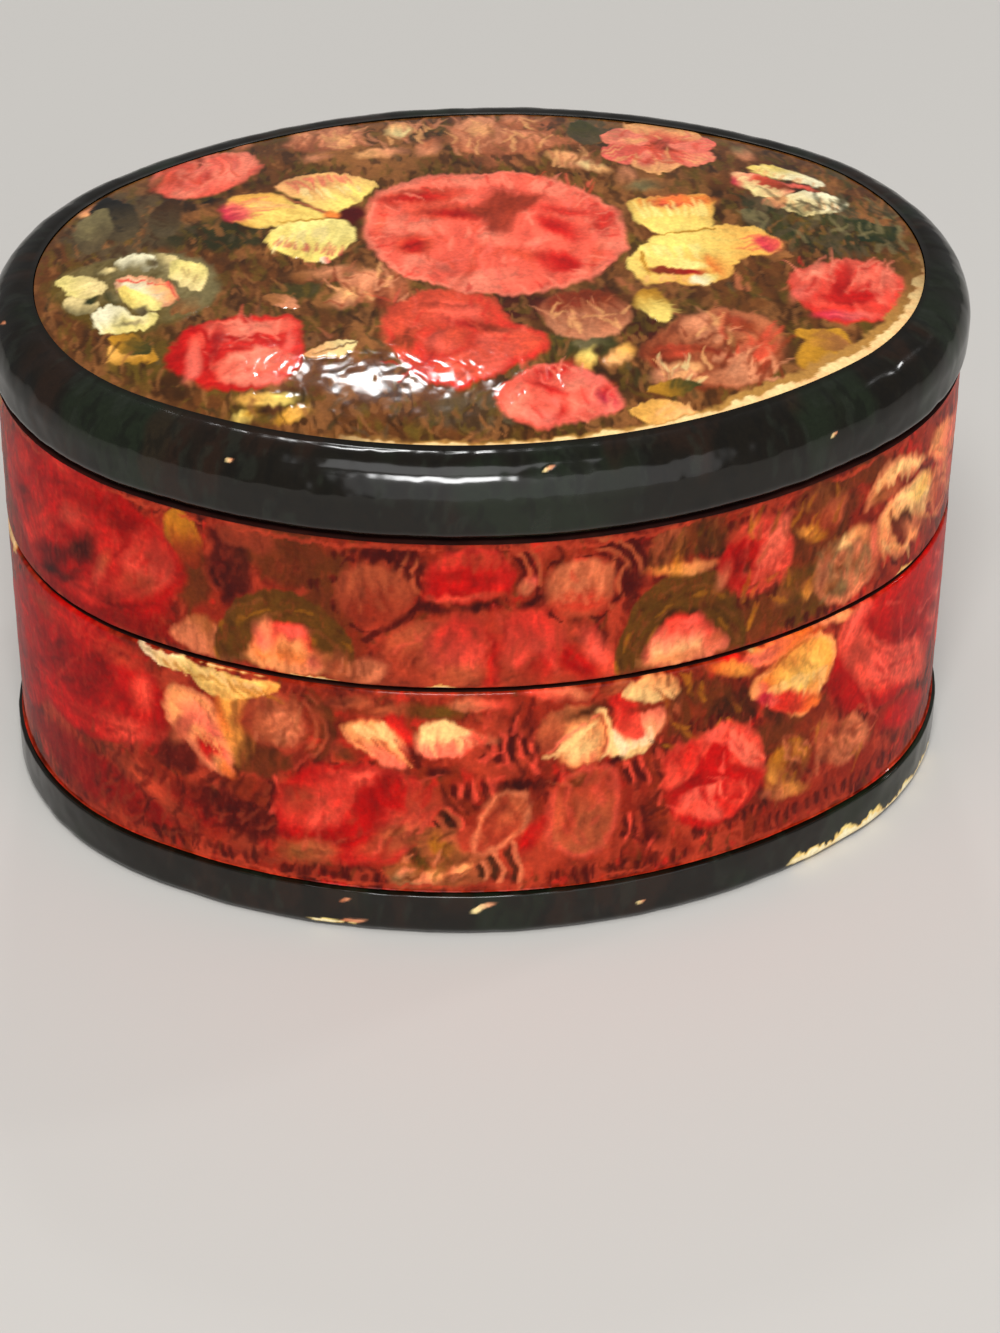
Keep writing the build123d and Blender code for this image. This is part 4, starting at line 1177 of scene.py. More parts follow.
def base_wall_shells(canvas):
    """The pale shell-shaped flowers under the seam."""
    shape(canvas, ((-8.9, 13.6), (-7.6, 14.2), (-6.4, 13.8), (-5.8, 12.4), (-5.7, 11.3), (-6.4, 10.9),
                   (-7.2, 11.4), (-8.3, 12.4)), "salmon", "peach", 120, soft=0.4, streak=0.9)
    hatch(canvas, (-8.6, 13.6), (-6.4, 13.8), 8, 2.4, -58, "peach", 0.24, 0.1, 0.8)
    hatch(canvas, (-8.4, 13.7), (-6.6, 13.9), 4, 1.6, -58, "cream", 0.2, 0.1, 0.8)
    hatch(canvas, (-8.2, 12.9), (-6.2, 13.0), 4, 1.6, -58, "terracotta", 0.13, 0.1, 0.7)
    touches(canvas, (
        (-6.0, 13.8, 1.0, 0.5, -60, "ruby", "scarlet"), (-7.0, 14.8, 1.8, 0.4, 4, "rust", "dusty"),
        (-8.9, 12.0, 0.8, 0.4, -50, "rosewood", "brown")), 0.5, 0.9)
    shape(canvas, ((-5.1, 13.4), (-4.3, 14.3), (-3.1, 14.3), (-2.3, 13.6), (-2.2, 12.8), (-3.2, 12.0),
                   (-4.6, 12.0), (-5.2, 12.6)), "salmon", "cream", 90, soft=0.4, streak=0.9)
    hatch(canvas, (-4.9, 13.8), (-2.6, 14.0), 7, 1.5, -88, "cream", 0.24, 0.1, 0.7)
    hatch(canvas, (-4.9, 12.2), (-2.6, 12.2), 7, 0.9, 92, "salmon", 0.18, 0.1, 0.7)
    touches(canvas, (
        (-2.0, 13.2, 0.8, 0.3, -6, "salmon", "blush"), (-4.2, 14.9, 1.5, 0.5, 4, "brown", "olive"),
        (-1.8, 15.4, 1.3, 0.4, -4, "blush", "coral"), (-8.6, 15.2, 1.2, 0.4, 10, "rosewood", "dusty"),
        (2.2, 15.8, 1.4, 0.35, -10, "coral", "blush"), (-4.0, 10.9, 0.7, 0.35, 0, "oxblood", "maroon"),
        (-9.9, 14.2, 0.6, 0.5, 40, "rosewood", "brown"),
        (-0.2, 13.2, 0.9, 0.25, 84, "maroon", "oxblood")), 0.45, 0.9)

    shape(canvas, ((1.2, 13.4), (2.0, 14.6), (3.6, 15.0), (4.7, 14.0), (5.1, 12.6), (4.3, 11.2),
                   (3.0, 10.9), (1.8, 12.0)), "peach", "dusty", 150, soft=0.4, streak=0.9)
    touches(canvas, (
        (1.8, 13.0, 1.2, 0.6, 80, "rosewood", "dusty"), (3.4, 12.6, 1.3, 1.0, 70, "cream", "peach"),
        (3.8, 14.5, 0.9, 0.35, 10, "brown", "umber")), 0.7, 0.9)
    hatch(canvas, (2.2, 12.0), (4.4, 13.8), 8, 1.2, -150, "cream", 0.2, 0.1, 0.6)
    hatch(canvas, (2.2, 12.6), (4.4, 14.2), 5, 1.0, -150, "salmon", 0.14, 0.1, 0.6)
    hatch(canvas, (3.2, 11.0), (5.0, 11.6), 5, 1.0, 76, "blush", 0.18, 0.1, 0.6)
    shape(canvas, ((4.6, 11.6), (5.3, 13.2), (6.6, 13.8), (7.8, 13.6), (7.6, 12.2), (6.8, 11.1),
                   (5.6, 11.0)), "cream", "salmon", 90, soft=0.35, streak=0.9)
    hatch(canvas, (5.2, 11.3), (7.4, 11.8), 6, 1.5, 84, "ivory", 0.22, 0.1, 0.6)
    hoop(canvas, (3.2, 12.8), (1.9, 2.1), 0.2, "cream", -56, 60, cover=0.8)
    hoop(canvas, (3.2, 12.8), (1.6, 1.8), 0.14, "brick", -50, 54, cover=0.7)
    shape(canvas, ((5.0, 15.2), (5.8, 15.3), (6.4, 14.0), (6.8, 12.4), (6.2, 11.9), (5.5, 13.0),
                   (5.1, 14.2)), "scarlet", "coral", -80, soft=0.35, streak=0.9)
    shape(canvas, ((5.5, 15.2), (6.4, 16.0), (8.0, 15.8), (8.6, 14.6), (7.6, 14.3), (6.4, 14.7)),
          "cream", "peach", 60, soft=0.35, streak=0.9)
    touches(canvas, (
        (5.0, 15.7, 0.9, 0.4, 20, "rust", "dusty"), (8.3, 13.0, 1.2, 0.4, 70, "rust", "dusty"),
        (7.1, 14.1, 0.9, 0.16, 4, "rust", "brick"),
        (5.2, 10.9, 0.5, 0.25, 20, "oxblood", "maroon")), 0.35, 0.9)
    scatter(canvas, (-2.6, 9.8), (1.2, 14.0), 26, 1.0, ("terracotta", "coral", "terracotta", "oxblood"),
            0.17, 0.6)
    scatter(canvas, (5.4, 4.2), (8.6, 10.6), 30, 1.0, ("terracotta", "rust", "oxblood", "coral"), 0.17,
            0.6)
    scatter(canvas, (7.8, 10.8), (12.4, 15.0), 40, 1.2, ("rust", "ochre", "brown", "umber"), 0.18, 0.6,
            100)


def base_wall_right(canvas):
    """The golden tulip, the large red flowers at the right, and the buds under them."""
    shape(canvas, ((13.0, 13.3), (14.2, 14.8), (16.0, 15.7), (17.8, 15.2), (18.4, 13.6), (17.8, 11.8),
                   (16.4, 10.7), (15.0, 11.4)), "orange", "gold", 60, "peach", 0.3, 0.8)
    touches(canvas, (
        (15.6, 11.8, 1.4, 0.6, -16, "vermilion", "vermilion"),
        (14.2, 12.4, 0.8, 0.4, -40, "magenta", "scarlet"), (17.2, 11.9, 0.8, 0.4, 60, "peach", "gold"),
        (13.6, 13.3, 0.5, 0.4, 10, "peach", "pink")), 0.5, 0.9)
    dab(canvas, (15.9, 13.7), (1.7, 1.4), "gold", -60, "yellow", 0.9, streak=0.7)
    hatch(canvas, (14.0, 13.2), (17.8, 12.9), 11, 1.3, -98, "cream", 0.2, cover=0.5)
    hatch(canvas, (14.2, 14.6), (17.6, 15.2), 8, 1.4, -92, "gold", 0.18, cover=0.5)
    touches(canvas, (
        (15.4, 11.8, 1.3, 0.65, -24, "scarlet", "vermilion"),
        (14.2, 12.4, 0.7, 0.4, -40, "magenta", "pink"),
        (16.6, 11.2, 0.9, 0.4, -10, "vermilion", "orange")), 0.4, 0.8)
    touches(canvas, (
        (14.2, 15.6, 2.6, 0.7, 10, "salmon", "orange"), (11.6, 15.2, 1.4, 0.5, -30, "orange", "gold"),
        (11.4, 16.0, 0.9, 0.3, -30, "crimson", "scarlet"),
        (18.4, 16.0, 1.6, 0.4, -10, "blush", "peach"), (12.8, 16.1, 0.4, 0.16, -40, "cream", "gold"),
        (15.0, 14.9, 2.0, 0.12, 20, "rust", "orange")), 0.4, 0.9)
    big_red_flower(canvas, (24.8, 12.0), (6.8, 4.1), "ruby", "crimson", "garnet", seed=1)
    touches(canvas, (
        (22.8, 15.4, 2.8, 0.9, 0, "ruby", "crimson"), (21.0, 12.0, 3.4, 1.3, -54, "rosy", "coral"),
        (24.4, 9.9, 3.8, 1.3, -32, "pink", "rosy"), (29.8, 10.4, 3.6, 1.1, -30, "pink", "madder"),
        (19.6, 14.6, 1.6, 0.9, 60, "coral", "pink"), (22.4, 13.4, 2.6, 0.8, -40, "crimson", "garnet"),
        (26.4, 12.6, 3.2, 0.8, -36, "crimson", "garnet"),
        (29.8, 15.0, 2.6, 0.8, -20, "ruby", "crimson")), 0.7, 0.9)
    scatter(canvas, (20.4, 9.2), (31.0, 15.2), 50, 1.9, ("ruby", "crimson", "madder", "pink"), 0.17,
            0.35, -40)
    big_red_flower(canvas, (33.0, 9.6), (3.6, 3.8), "coral", "ruby", "garnet", seed=6)
    touches(canvas, (
        (25.2, 6.2, 2.8, 1.0, -20, "crimson", "ruby"), (19.4, 7.4, 2.2, 1.4, -30, "dusty", "blush"),
        (18.4, 8.8, 1.2, 0.6, -40, "dusty", "rosewood"), (15.5, 7.4, 1.6, 1.5, 90, "tan", "ochre"),
        (16.2, 7.0, 0.8, 0.45, -60, "brown", "rust"), (15.4, 5.8, 1.3, 0.45, -14, "blush", "gold"),
        (14.6, 6.6, 0.9, 0.4, -70, "gold", "tan"),
        (16.8, 8.6, 0.5, 0.3, 30, "brown", "rust")), 0.6, 0.9)
    scatter(canvas, (14.0, 6.0), (21.0, 9.6), 50, 1.1, ("dusty", "tan", "rust", "blush", "ochre"), 0.17,
            0.45, -60)


def base_wall_rose(canvas):
    """The red rose right of the middle."""
    shape(canvas, ((8.0, 9.4), (8.6, 11.0), (10.4, 11.3), (11.4, 11.8), (13.2, 10.6), (14.0, 8.4),
                   (13.2, 6.2), (11.0, 5.2), (8.8, 6.2)), "ruby", "coral", 60, soft=0.5, streak=0.9)
    touches(canvas, (
        (9.0, 9.7, 1.5, 0.8, 60, "coral", "scarlet"), (13.0, 8.6, 1.8, 0.6, -70, "scarlet", "ruby"),
        (10.8, 9.2, 1.9, 0.9, 60, "crimson", "crimson"),
        (11.8, 8.4, 1.4, 0.6, -40, "crimson", "crimson"), (9.4, 8.1, 1.1, 0.5, 40, "crimson", "garnet"),
        (12.4, 9.8, 2.0, 0.4, -56, "pink", "salmon"), (11.2, 11.0, 0.8, 0.5, -20, "pink", "coral"),
        (10.8, 7.1, 1.8, 0.7, -6, "pink", "salmon"), (10.4, 6.3, 1.4, 0.5, -24, "coral", "pink"),
        (12.2, 6.3, 0.9, 0.5, 60, "scarlet", "coral"), (11.4, 6.7, 0.6, 0.2, -40, "crimson", "ruby"),
        (9.4, 7.0, 0.8, 0.3, 50, "coral", "pink")), 0.4, 0.9)
    scatter(canvas, (8.6, 5.8), (13.6, 11.2), 30, 1.1, ("pink", "coral", "ruby", "crimson"), 0.14, 0.35,
            110)
    hatch(canvas, (9.6, 7.7), (12.4, 7.6), 5, 1.3, -74, "crimson", 0.2, 0.2, 0.7)
    hatch(canvas, (11.8, 11.2), (13.4, 9.6), 3, 2.2, -62, "salmon", 0.22, 0.1, 0.6)
    comma(canvas, (11.6, 7.6), 1.6, 0.5, -60, "ruby", 0.2, 0.004, 0.8)


def base_wall_low(canvas):
    """The crimson flower, the two terracotta ones and the ringed flower under them."""
    shape(canvas, ((-12.6, 6.4), (-12.0, 9.4), (-9.6, 11.0), (-6.2, 10.8), (-4.2, 9.2), (-3.8, 7.2),
                   (-5.0, 5.6), (-7.8, 4.6), (-11.0, 4.8)), "crimson", "madder", 0, soft=0.6,
          streak=0.9)
    touches(canvas, (
        (-9.8, 8.4, 2.0, 1.1, 60, "rosy", "madder"), (-11.5, 8.0, 1.4, 0.9, 70, "madder", "rosewood"),
        (-5.2, 8.0, 2.0, 1.1, 60, "rosy", "terracotta"),
        (-6.6, 6.3, 1.8, 0.9, 30, "terracotta", "dusty"),
        (-7.6, 8.4, 2.4, 0.8, 64, "crimson", "garnet"), (-8.4, 10.2, 1.6, 0.5, 10, "madder", "rosy"),
        (-9.2, 6.2, 1.9, 0.8, 20, "garnet", "crimson"),
        (-10.9, 5.0, 1.4, 0.8, 10, "tan", "dusty")), 0.8, 1.0)
    scatter(canvas, (-12.0, 5.0), (-4.4, 10.6), 60, 1.2, ("crimson", "madder", "rosewood", "rosy"),
            0.17, 0.35, 66)
    dab(canvas, (-6.4, 9.5), (1.3, 0.8), "garnet", -70, "crimson", 0.5, 0.004, 0.9)
    shape(canvas, ((-1.9, 8.0), (-1.2, 9.6), (0.2, 9.8), (0.9, 8.8), (0.5, 7.0), (-0.8, 5.8),
                   (-2.2, 5.4), (-2.2, 6.6)), "terracotta", "dusty", 60, "blush", 0.4, 0.9)
    shape(canvas, ((1.8, 7.6), (2.2, 9.8), (3.8, 10.8), (5.2, 10.2), (5.6, 8.2), (5.0, 5.8), (3.4, 4.8),
                   (2.0, 5.8)), "dusty", "terracotta", 80, "rosy", 0.5, 0.9)
    touches(canvas, (
        (0.9, 6.6, 1.3, 0.5, 56, "crimson", "ruby"), (3.1, 9.8, 0.9, 0.45, 10, "rust", "brown"),
        (4.2, 8.6, 1.4, 1.0, 80, "dusty", "terracotta"), (1.2, 9.4, 0.9, 0.35, 50, "brick", "oxblood"),
        (0.1, 10.1, 1.2, 0.22, 0, "maroon", "oxblood"),
        (3.0, 7.4, 1.0, 0.25, 80, "brick", "rust")), 0.6, 0.9)
    scatter(canvas, (-1.8, 6.0), (0.4, 9.4), 16, 1.0, ("dusty", "terracotta", "brick"), 0.17, 0.35)
    scatter(canvas, (2.0, 5.2), (5.4, 10.2), 34, 1.1, ("dusty", "terracotta", "rosy"), 0.17, 0.35)
    shape(canvas, ((-6.8, 4.0), (-5.6, 5.4), (-4.6, 7.2), (-3.2, 7.4), (-2.6, 5.8), (-1.0, 5.4),
                   (-0.6, 4.2), (-2.4, 3.3), (-5.2, 3.2)), "tan", "dusty", 10, soft=0.5, streak=1.0)
    touches(canvas, (
        (-5.8, 4.0, 0.7, 0.35, 40, "steel", "blush"), (-4.9, 5.0, 0.9, 0.35, 120, "olive", "umber"),
        (-4.4, 3.9, 0.8, 0.4, 30, "blush", "peach"), (-3.5, 5.8, 0.9, 0.45, -20, "ochre", "tan"),
        (-3.9, 6.9, 0.8, 0.3, 70, "ochre", "dusty"), (-2.8, 4.4, 0.7, 0.4, 50, "blush", "peach"),
        (-5.2, 3.4, 0.9, 0.2, 10, "steel", "blush"),
        (-3.4, 4.9, 0.6, 0.2, 40, "olive", "brown")), 0.4, 0.9)
    scatter(canvas, (-6.4, 3.4), (-2.6, 6.8), 30, 0.8, ("tan", "blush", "olive", "brown"), 0.16, 0.55,
            50)
    scroll(canvas, (-2.6, 4.2), (1.0, 1.8, 2.7), 10, 36, "umber", "blush", 0.36)
    scroll(canvas, (-4.7, 7.2), (0.9, 1.5), 30, 32, "umber", "dusty", 0.26)


def paint_back(canvas, low, high, start):
    """The part of a wall that the photograph doesn't show, in the same motifs."""
    middle = (low + high) / 2
    tall = high - low
    along = start + 1.5
    motif_count = 16
    step = (girth - 2 * along) / motif_count
    big = min(tall * 0.3, 2.9)
    for k in range(motif_count):
        place = along + step * (k + 0.5)
        hatch(canvas, (place - 2.2, low + 1.2), (place + 2.2, low + 1.2), 6, 0.9, -94, "oxblood", 0.2,
              0.2, 0.8)
        scroll(canvas, (place - 2.4, middle), (0.9, 1.6, 2.3), 20 * k, 40)
        for side in (-1, 1):
            sway = np.sin(1.7 * k + 2.1 * side)
            leaf(canvas, (place + 2.4 * side + 0.8 * sway, high - 2.2 + 0.5 * sway), 2.6 + 0.6 * sway,
                 1.2, 90 - 50 * side + 30 * sway, ("olive", "brown", "moss")[(k + side) % 3],
                 ("ochre", "rust", "tan")[k % 3])
            round_bud(canvas, (place + 2.3 * side - 0.7 * sway, low + 1.7 + 0.4 * sway),
                      (1.0 + 0.3 * sway, 1.1))
    for k in range(motif_count):
        at = (along + step * (k + 0.5), middle + tall * 0.16 * np.sin(2.3 * k + tall))
        kind = (k * 3 + round(tall)) % 7
        if kind == 0:
            big_red_flower(canvas, at, (big * 1.6, big * 1.2), "rosy", "ruby", "garnet", k)
        elif kind == 1:
            drooping_flower(canvas, (at[0] - 1.6, at[1]), 2.7, 250, "vermilion", "salmon")
            drooping_flower(canvas, (at[0] + 1.6, at[1] + 0.3), 2.5, 280, "brick", "peach")
        elif kind == 2:
            rose(canvas, at, (big * 0.95, big), 12 * k, "coral", "ruby", "garnet", k)
        elif kind == 3:
            arched_bud(canvas, (at[0], low + 0.8), (3.4, 4.2))
        elif kind == 4:
            petal(canvas, (at[0] + 1.6, at[1] + 2.4), 5.2, 1.7, -104, "gold", "brown", broad=1.0)
            fan(canvas, (at[0] - 0.8, at[1] + 1.4), 3.0, 48, -62, "orange", "peach", "cream")
        elif kind == 5:
            for turn in (60, 130, 200, 270, 340):
                fan(canvas, at, big * 0.9, 34, turn + 7 * k, "rust", "blush", "cream", 7)
        else:
            round_bud(canvas, at, (1.9, 1.9))


def seam_wear_and_highlights(canvas, level, stretches):
    """Pale paint along an edge: gesso and gilt where the paint is worn, and painted highlights and
    reflections in some stretches.
    """
    u, v = canvas.true_u, canvas.true_v
    worn = 0.5 * noise(u, v, 1.1, canvas.seed + wear_seed, canvas.span)
    worn += 0.5 * noise(u, v * 0.6, 0.24, canvas.seed + wear_seed + 1, canvas.span)
    off = np.abs(v - level)
    for first, last, width in stretches:
        within = smooth((u - first) / 1.2) * smooth((last - u) / 1.2)
        reach = width * (1.9 * worn - 0.1) * within
        canvas.lay(canvas.everywhere, smooth((reach - off) / 0.12) * within,
                   blend("gold", "lemon", worn), -0.004)
        canvas.lay(canvas.everywhere, smooth((reach * 0.6 - off) / 0.1) * within,
                   blend("cream", "ivory", worn), -0.004)


def finish_wall(canvas, low, high, back_start, line_level, worn_level, worn):
    """What both walls get last: a pale line, the painted back, brush marks, wear with some painted
    highlights, age, and a painted red reflection.
    """
    edge_line(canvas, line_level)
    paint_back(canvas, low, high, back_start)
    brush_marks(canvas)
    seam_wear_and_highlights(canvas, worn_level, worn)
    weathered(canvas, wall_depth)
    # Painted reflection: a red cast over every colour of the wall
    canvas.colour *= WALL_RED_REFLECTION


def paint_lid_wall(canvas):
    """The painting round the lid's wall, with the photographed front in its place."""
    low, high = lid_low[2], lid_high[2]
    wall_ground(canvas, low, high)
    lid_wall_shadows(canvas)
    lid_wall_left(canvas)
    lid_wall_middle(canvas)
    lid_wall_right(canvas)
    # Pale stretches at the seam: the one from 22.2 to 25.0 is a painted glint on the lid's lower edge,
    # the others are worn paint
    worn = ((-12.5, -8.5, 0.2), (-5.0, -2.6, 0.25), (22.2, 25.0, 0.4))
    finish_wall(canvas, low, high, back_start=33, line_level=high - 0.4, worn_level=low + 0.1,
                worn=worn)


def paint_base_wall(canvas):
    """The painting round the base's wall, with the photographed front in its place."""
    low, high = base_low[2], base_high[2]
    wall_ground(canvas, low, high)
    base_wall_shadows(canvas)
    base_wall_left(canvas)
    base_wall_shells(canvas)
    base_wall_right(canvas)
    base_wall_rose(canvas)
    base_wall_low(canvas)
    # Pale stretches at the seam: partly worn gilt, partly painted highlights on the lit top edge of the
    # base
    worn = ((-17.4, -12.4, 0.12), (-36, -31, 0.8))
    finish_wall(canvas, low, high, back_start=36, line_level=low + 0.35, worn_level=high - 0.1,
                worn=worn)


def paint_black(canvas, pale_spots, worn=()):
    """Black lacquer in upright strokes: green-grey and brown clouds, partly thin lacquer and partly
    painted reflections, and pale spots.
    """
    # Painted reflection in part: these clouds also stand for green-grey and red surroundings reflected
    # in the lacquer
    for red, green, blue, size, share, cover in (
            (26, 36, 22, 4.0, 0.4, 0.6), (42, 24, 14, 3.0, 0.25, 0.5), (34, 38, 30, 0.7, 0.2, 0.4),
            (10, 8, 5, 0.5, 0.3, 0.5)):
        mottle(canvas, srgb(red, green, blue), size, share, cover, 2.6)
    for at, size, paint in pale_spots:
        dab(canvas, at, size, paint, 20, to="blush", soft=0.08, lift=-0.02)
    worn_level = 0.95
    seam_wear_and_highlights(canvas, worn_level, worn)


# Meshes

# One seed for each piece's canvas
base_wall_seed = 501
lid_wall_seed = 601
rim_seed = 901
foot_seed = 951
field_seed = 401

# Points round a ring, millimetres between its rows, and faces across the field
stations = 1296
row_step = 0.11
field_count = 400

# How far the ground of the paint lies inside the CAD surface, so that no stroke stands out of it
coat_depth = 0.03
crease_angle = radians(35)

# The surface's unevenness: the sizes and depths of its lumps
painted_lumps = ((8.0, 0.045), (2.6, 0.014), (1.1, 0.018), (0.5, 0.01))
lacquer_lumps = ((8.0, 0.04), (2.2, 0.04), (1.1, 0.05), (0.5, 0.016))


def lumps(u, v, seed, span=0, depths=painted_lumps):
    """How far the hand-made and lacquered surface lies under its true shape, from 0 up."""
    return sum(depth * noise(u, v, size, seed + k, span) for k, (size, depth) in enumerate(depths))


def arc_rows(centre, radius, first, last):
    """Insets and heights along an arc. Angle 0 is outermost and 90 is the top."""
    count = max(4, round(radius * radians(abs(last - first)) / row_step))
    angle = np.radians(np.linspace(first, last, count + 1))
    return [(centre[0] - radius * c, centre[1] + radius * s)
            for c, s in zip(np.cos(angle), np.sin(angle))]


def straight_rows(start, end):
    """Insets and heights along a straight line, without its last point."""
    count = max(1, round(np.hypot(end[0] - start[0], end[1] - start[1]) / row_step))
    share = np.arange(count)[:, None] / count
    return [tuple(row) for row in np.array(start) * (1 - share) + np.array(end) * share]


def band(lower, upper):
    """Four-sided faces between two rings of points."""
    return np.stack([lower, np.roll(lower, -1), np.roll(upper, -1), upper], -1)


def make_piece(name, points, faces, materials, colours, inner):
    """A mesh object from points in millimetres and lists of faces, each list of one size.

    Inner is 1 for each face that takes the second material, and 0 for the others.
    """
    mesh = bpy.data.meshes.new(name)
    corner_counts = np.concatenate([np.full(len(group), group.shape[1]) for group in faces])
    corners = np.concatenate([group.ravel() for group in faces])
    mesh.vertices.add(len(points))
    mesh.vertices.foreach_set("co", (points * MILLIMETRE).astype(np.float32).ravel())
    mesh.loops.add(len(corners))
    mesh.loops.foreach_set("vertex_index", corners.astype(np.int32))
    mesh.polygons.add(len(corner_counts))
    starts = np.concatenate([[0], np.cumsum(corner_counts)[:-1]])
    mesh.polygons.foreach_set("loop_start", starts.astype(np.int32))
    mesh.update(calc_edges=True)
    mesh.polygons.foreach_set("use_smooth", np.ones(len(corner_counts), bool))
    mesh.set_sharp_from_angle(angle=crease_angle)
    for material in materials:
        mesh.materials.append(material)
    mesh.polygons.foreach_set("material_index", inner.astype(np.int32))
    layer = mesh.attributes.new("paint", "FLOAT_COLOR", "POINT")
    rgba = np.ones((len(points), 4), np.float32)
    rgba[:, :3] = colours
    layer.data.foreach_set("color", rgba.ravel())
    mesh.update()
    piece = bpy.data.objects.new(name, mesh)
    bpy.context.scene.collection.objects.link(piece)
    return piece


def ring_piece(name, profile, painted, paint, ground, seed, materials, chart_heights,
               depths=painted_lumps, fray=0.35):
    """A ring swept round the oval. Its first rows are painted, and pressed in by hand."""
    profile = np.array(profile)
    rows = len(profile)
    tangent = np.roll(profile, -1, 0) - np.roll(profile, 1, 0)
    tangent /= np.linalg.norm(tangent, axis=1)[:, None]
    along = np.arange(stations) * girth / stations
    along = np.where(along > girth / 2, along - girth, along)
    u = np.tile(along, painted)
    v = np.repeat(chart_heights[:painted], stations)
    canvas = Canvas(u, v, ground, seed, girth, fray)
    paint(canvas)
    push = np.zeros((rows, stations))
    under = lumps(u, v, seed + lump_seed, girth, depths) + coat_depth - canvas.relief
    push[:painted] = under.reshape(painted, -1)
    points = np.zeros((rows, stations, 3))
    for k in range(rows):
        inset = profile[k, 0] + tangent[k, 1] * push[k]
        points[k, :, 0], points[k, :, 1] = oval_points(along, inset)
        points[k, :, 2] = profile[k, 1] - tangent[k, 0] * push[k]
    index = np.arange(rows * stations).reshape(rows, stations)
    faces = np.concatenate([band(index[k], index[(k + 1) % rows]) for k in range(rows)])
    colours = np.tile(PAINT["black"], (rows * stations, 1))
    colours[:painted * stations] = canvas.colour
    inner = np.zeros((rows, stations))
    if len(materials) > 1:
        inner[painted - 1:] = 1
    return make_piece(name, points.reshape(-1, 3), [faces], materials, colours, inner.ravel())


def wall_piece(name, low, high, seam_at_top, paint, seed, materials):
    """A painted wall ring, its seam edge rounded over."""
    inner_face = wall_thickness
    if seam_at_top:
        outside = straight_rows((0, low), (0, high - edge_break))
        outside += arc_rows((edge_break, high - edge_break), edge_break, 0, 90)
        inside = [(inner_face - lead_in, high), (inner_face, high - lead_in), (inner_face, low)]
    else:
        outside = arc_rows((edge_break, low + edge_break), edge_break, -90, 0)[:-1]
        outside += straight_rows((0, low + edge_break), (0, high)) + [(0, high)]
        inside = [(inner_face, high), (inner_face, low + lead_in), (inner_face - lead_in, low)]
    profile = outside + inside
    heights = np.array(profile)[:, 1]
    return ring_piece(name, profile, len(outside), paint, "brick", seed, materials, heights)


def moulding_piece(name, levels, proud, rounds, inside, material, seed, pale_spots, worn=()):
    """A black moulding, rounded at its foot and its top, and charted along its profile."""
    low, high = levels
    foot, top = rounds
    outside = arc_rows((foot - proud, low + foot), foot, -90, 0)[:-1]
    outside += straight_rows((-proud, low + foot), (-proud, high - top))
    outside += arc_rows((top - proud, high - top), top, 0, 90)
    profile = outside + inside
    steps = np.linalg.norm(np.diff(np.array(profile), axis=0), axis=1)
    chart = np.concatenate([[0], np.cumsum(steps)])
    return ring_piece(name, profile, len(outside), lambda canvas: paint_black(canvas, pale_spots, worn),
                      "black", seed, [material], chart, lacquer_lumps, 0)


def rim_piece(name, material):
    """The bullnose ring round the field, with the rebate that holds the field's flange."""
    low, high = rim_low[2], rim_high[2]
    rebate = low + flange_thickness + glue_line
    inside = [(rim_inner_inset, high), (rim_inner_inset, rebate), (moulding_seat, rebate),
              (moulding_seat, low)]
    # Small pale spots on the rim: partly chips, partly painted glints
    pale_spots = (((1.5, 4.8), (0.34, 0.12), "cream"), ((-14.6, 4.2), (0.16, 0.1), "cream"),
             ((17.0, 3.2), (0.2, 0.09), "cream"), ((-33.0, 4.6), (0.24, 0.12), "dusty"))
    return moulding_piece(name, (low, high), rim_proud, (rim_foot_round, rim_top_round), inside,
                          material, rim_seed, pale_spots)


def foot_piece(name, material):
    """The black bead that the box stands on."""
    low, high = foot_low[2], foot_high[2]
    inside = [(moulding_seat, high), (moulding_seat, low)]
    # Pale spots and bands low on the foot: partly chips and worn lacquer, partly a painted reflection
    # of a white shape under the box
    pale_spots = (((-9.0, 2.6), (0.3, 0.1), "dusty"), ((-1.6, 2.4), (0.7, 0.2), "cream"),
             ((-8.6, 1.2), (0.8, 0.12), "dusty"), ((7.0, 1.6), (0.2, 0.1), "cream"))
    worn = ((15.4, 24.0, 0.62), (22.0, 30.4, 0.5), (-11.5, -7.5, 0.16))
    return moulding_piece(name, (low, high), foot_proud, (foot_round, foot_top_round), inside,
                          material, foot_seed, pale_spots, worn)


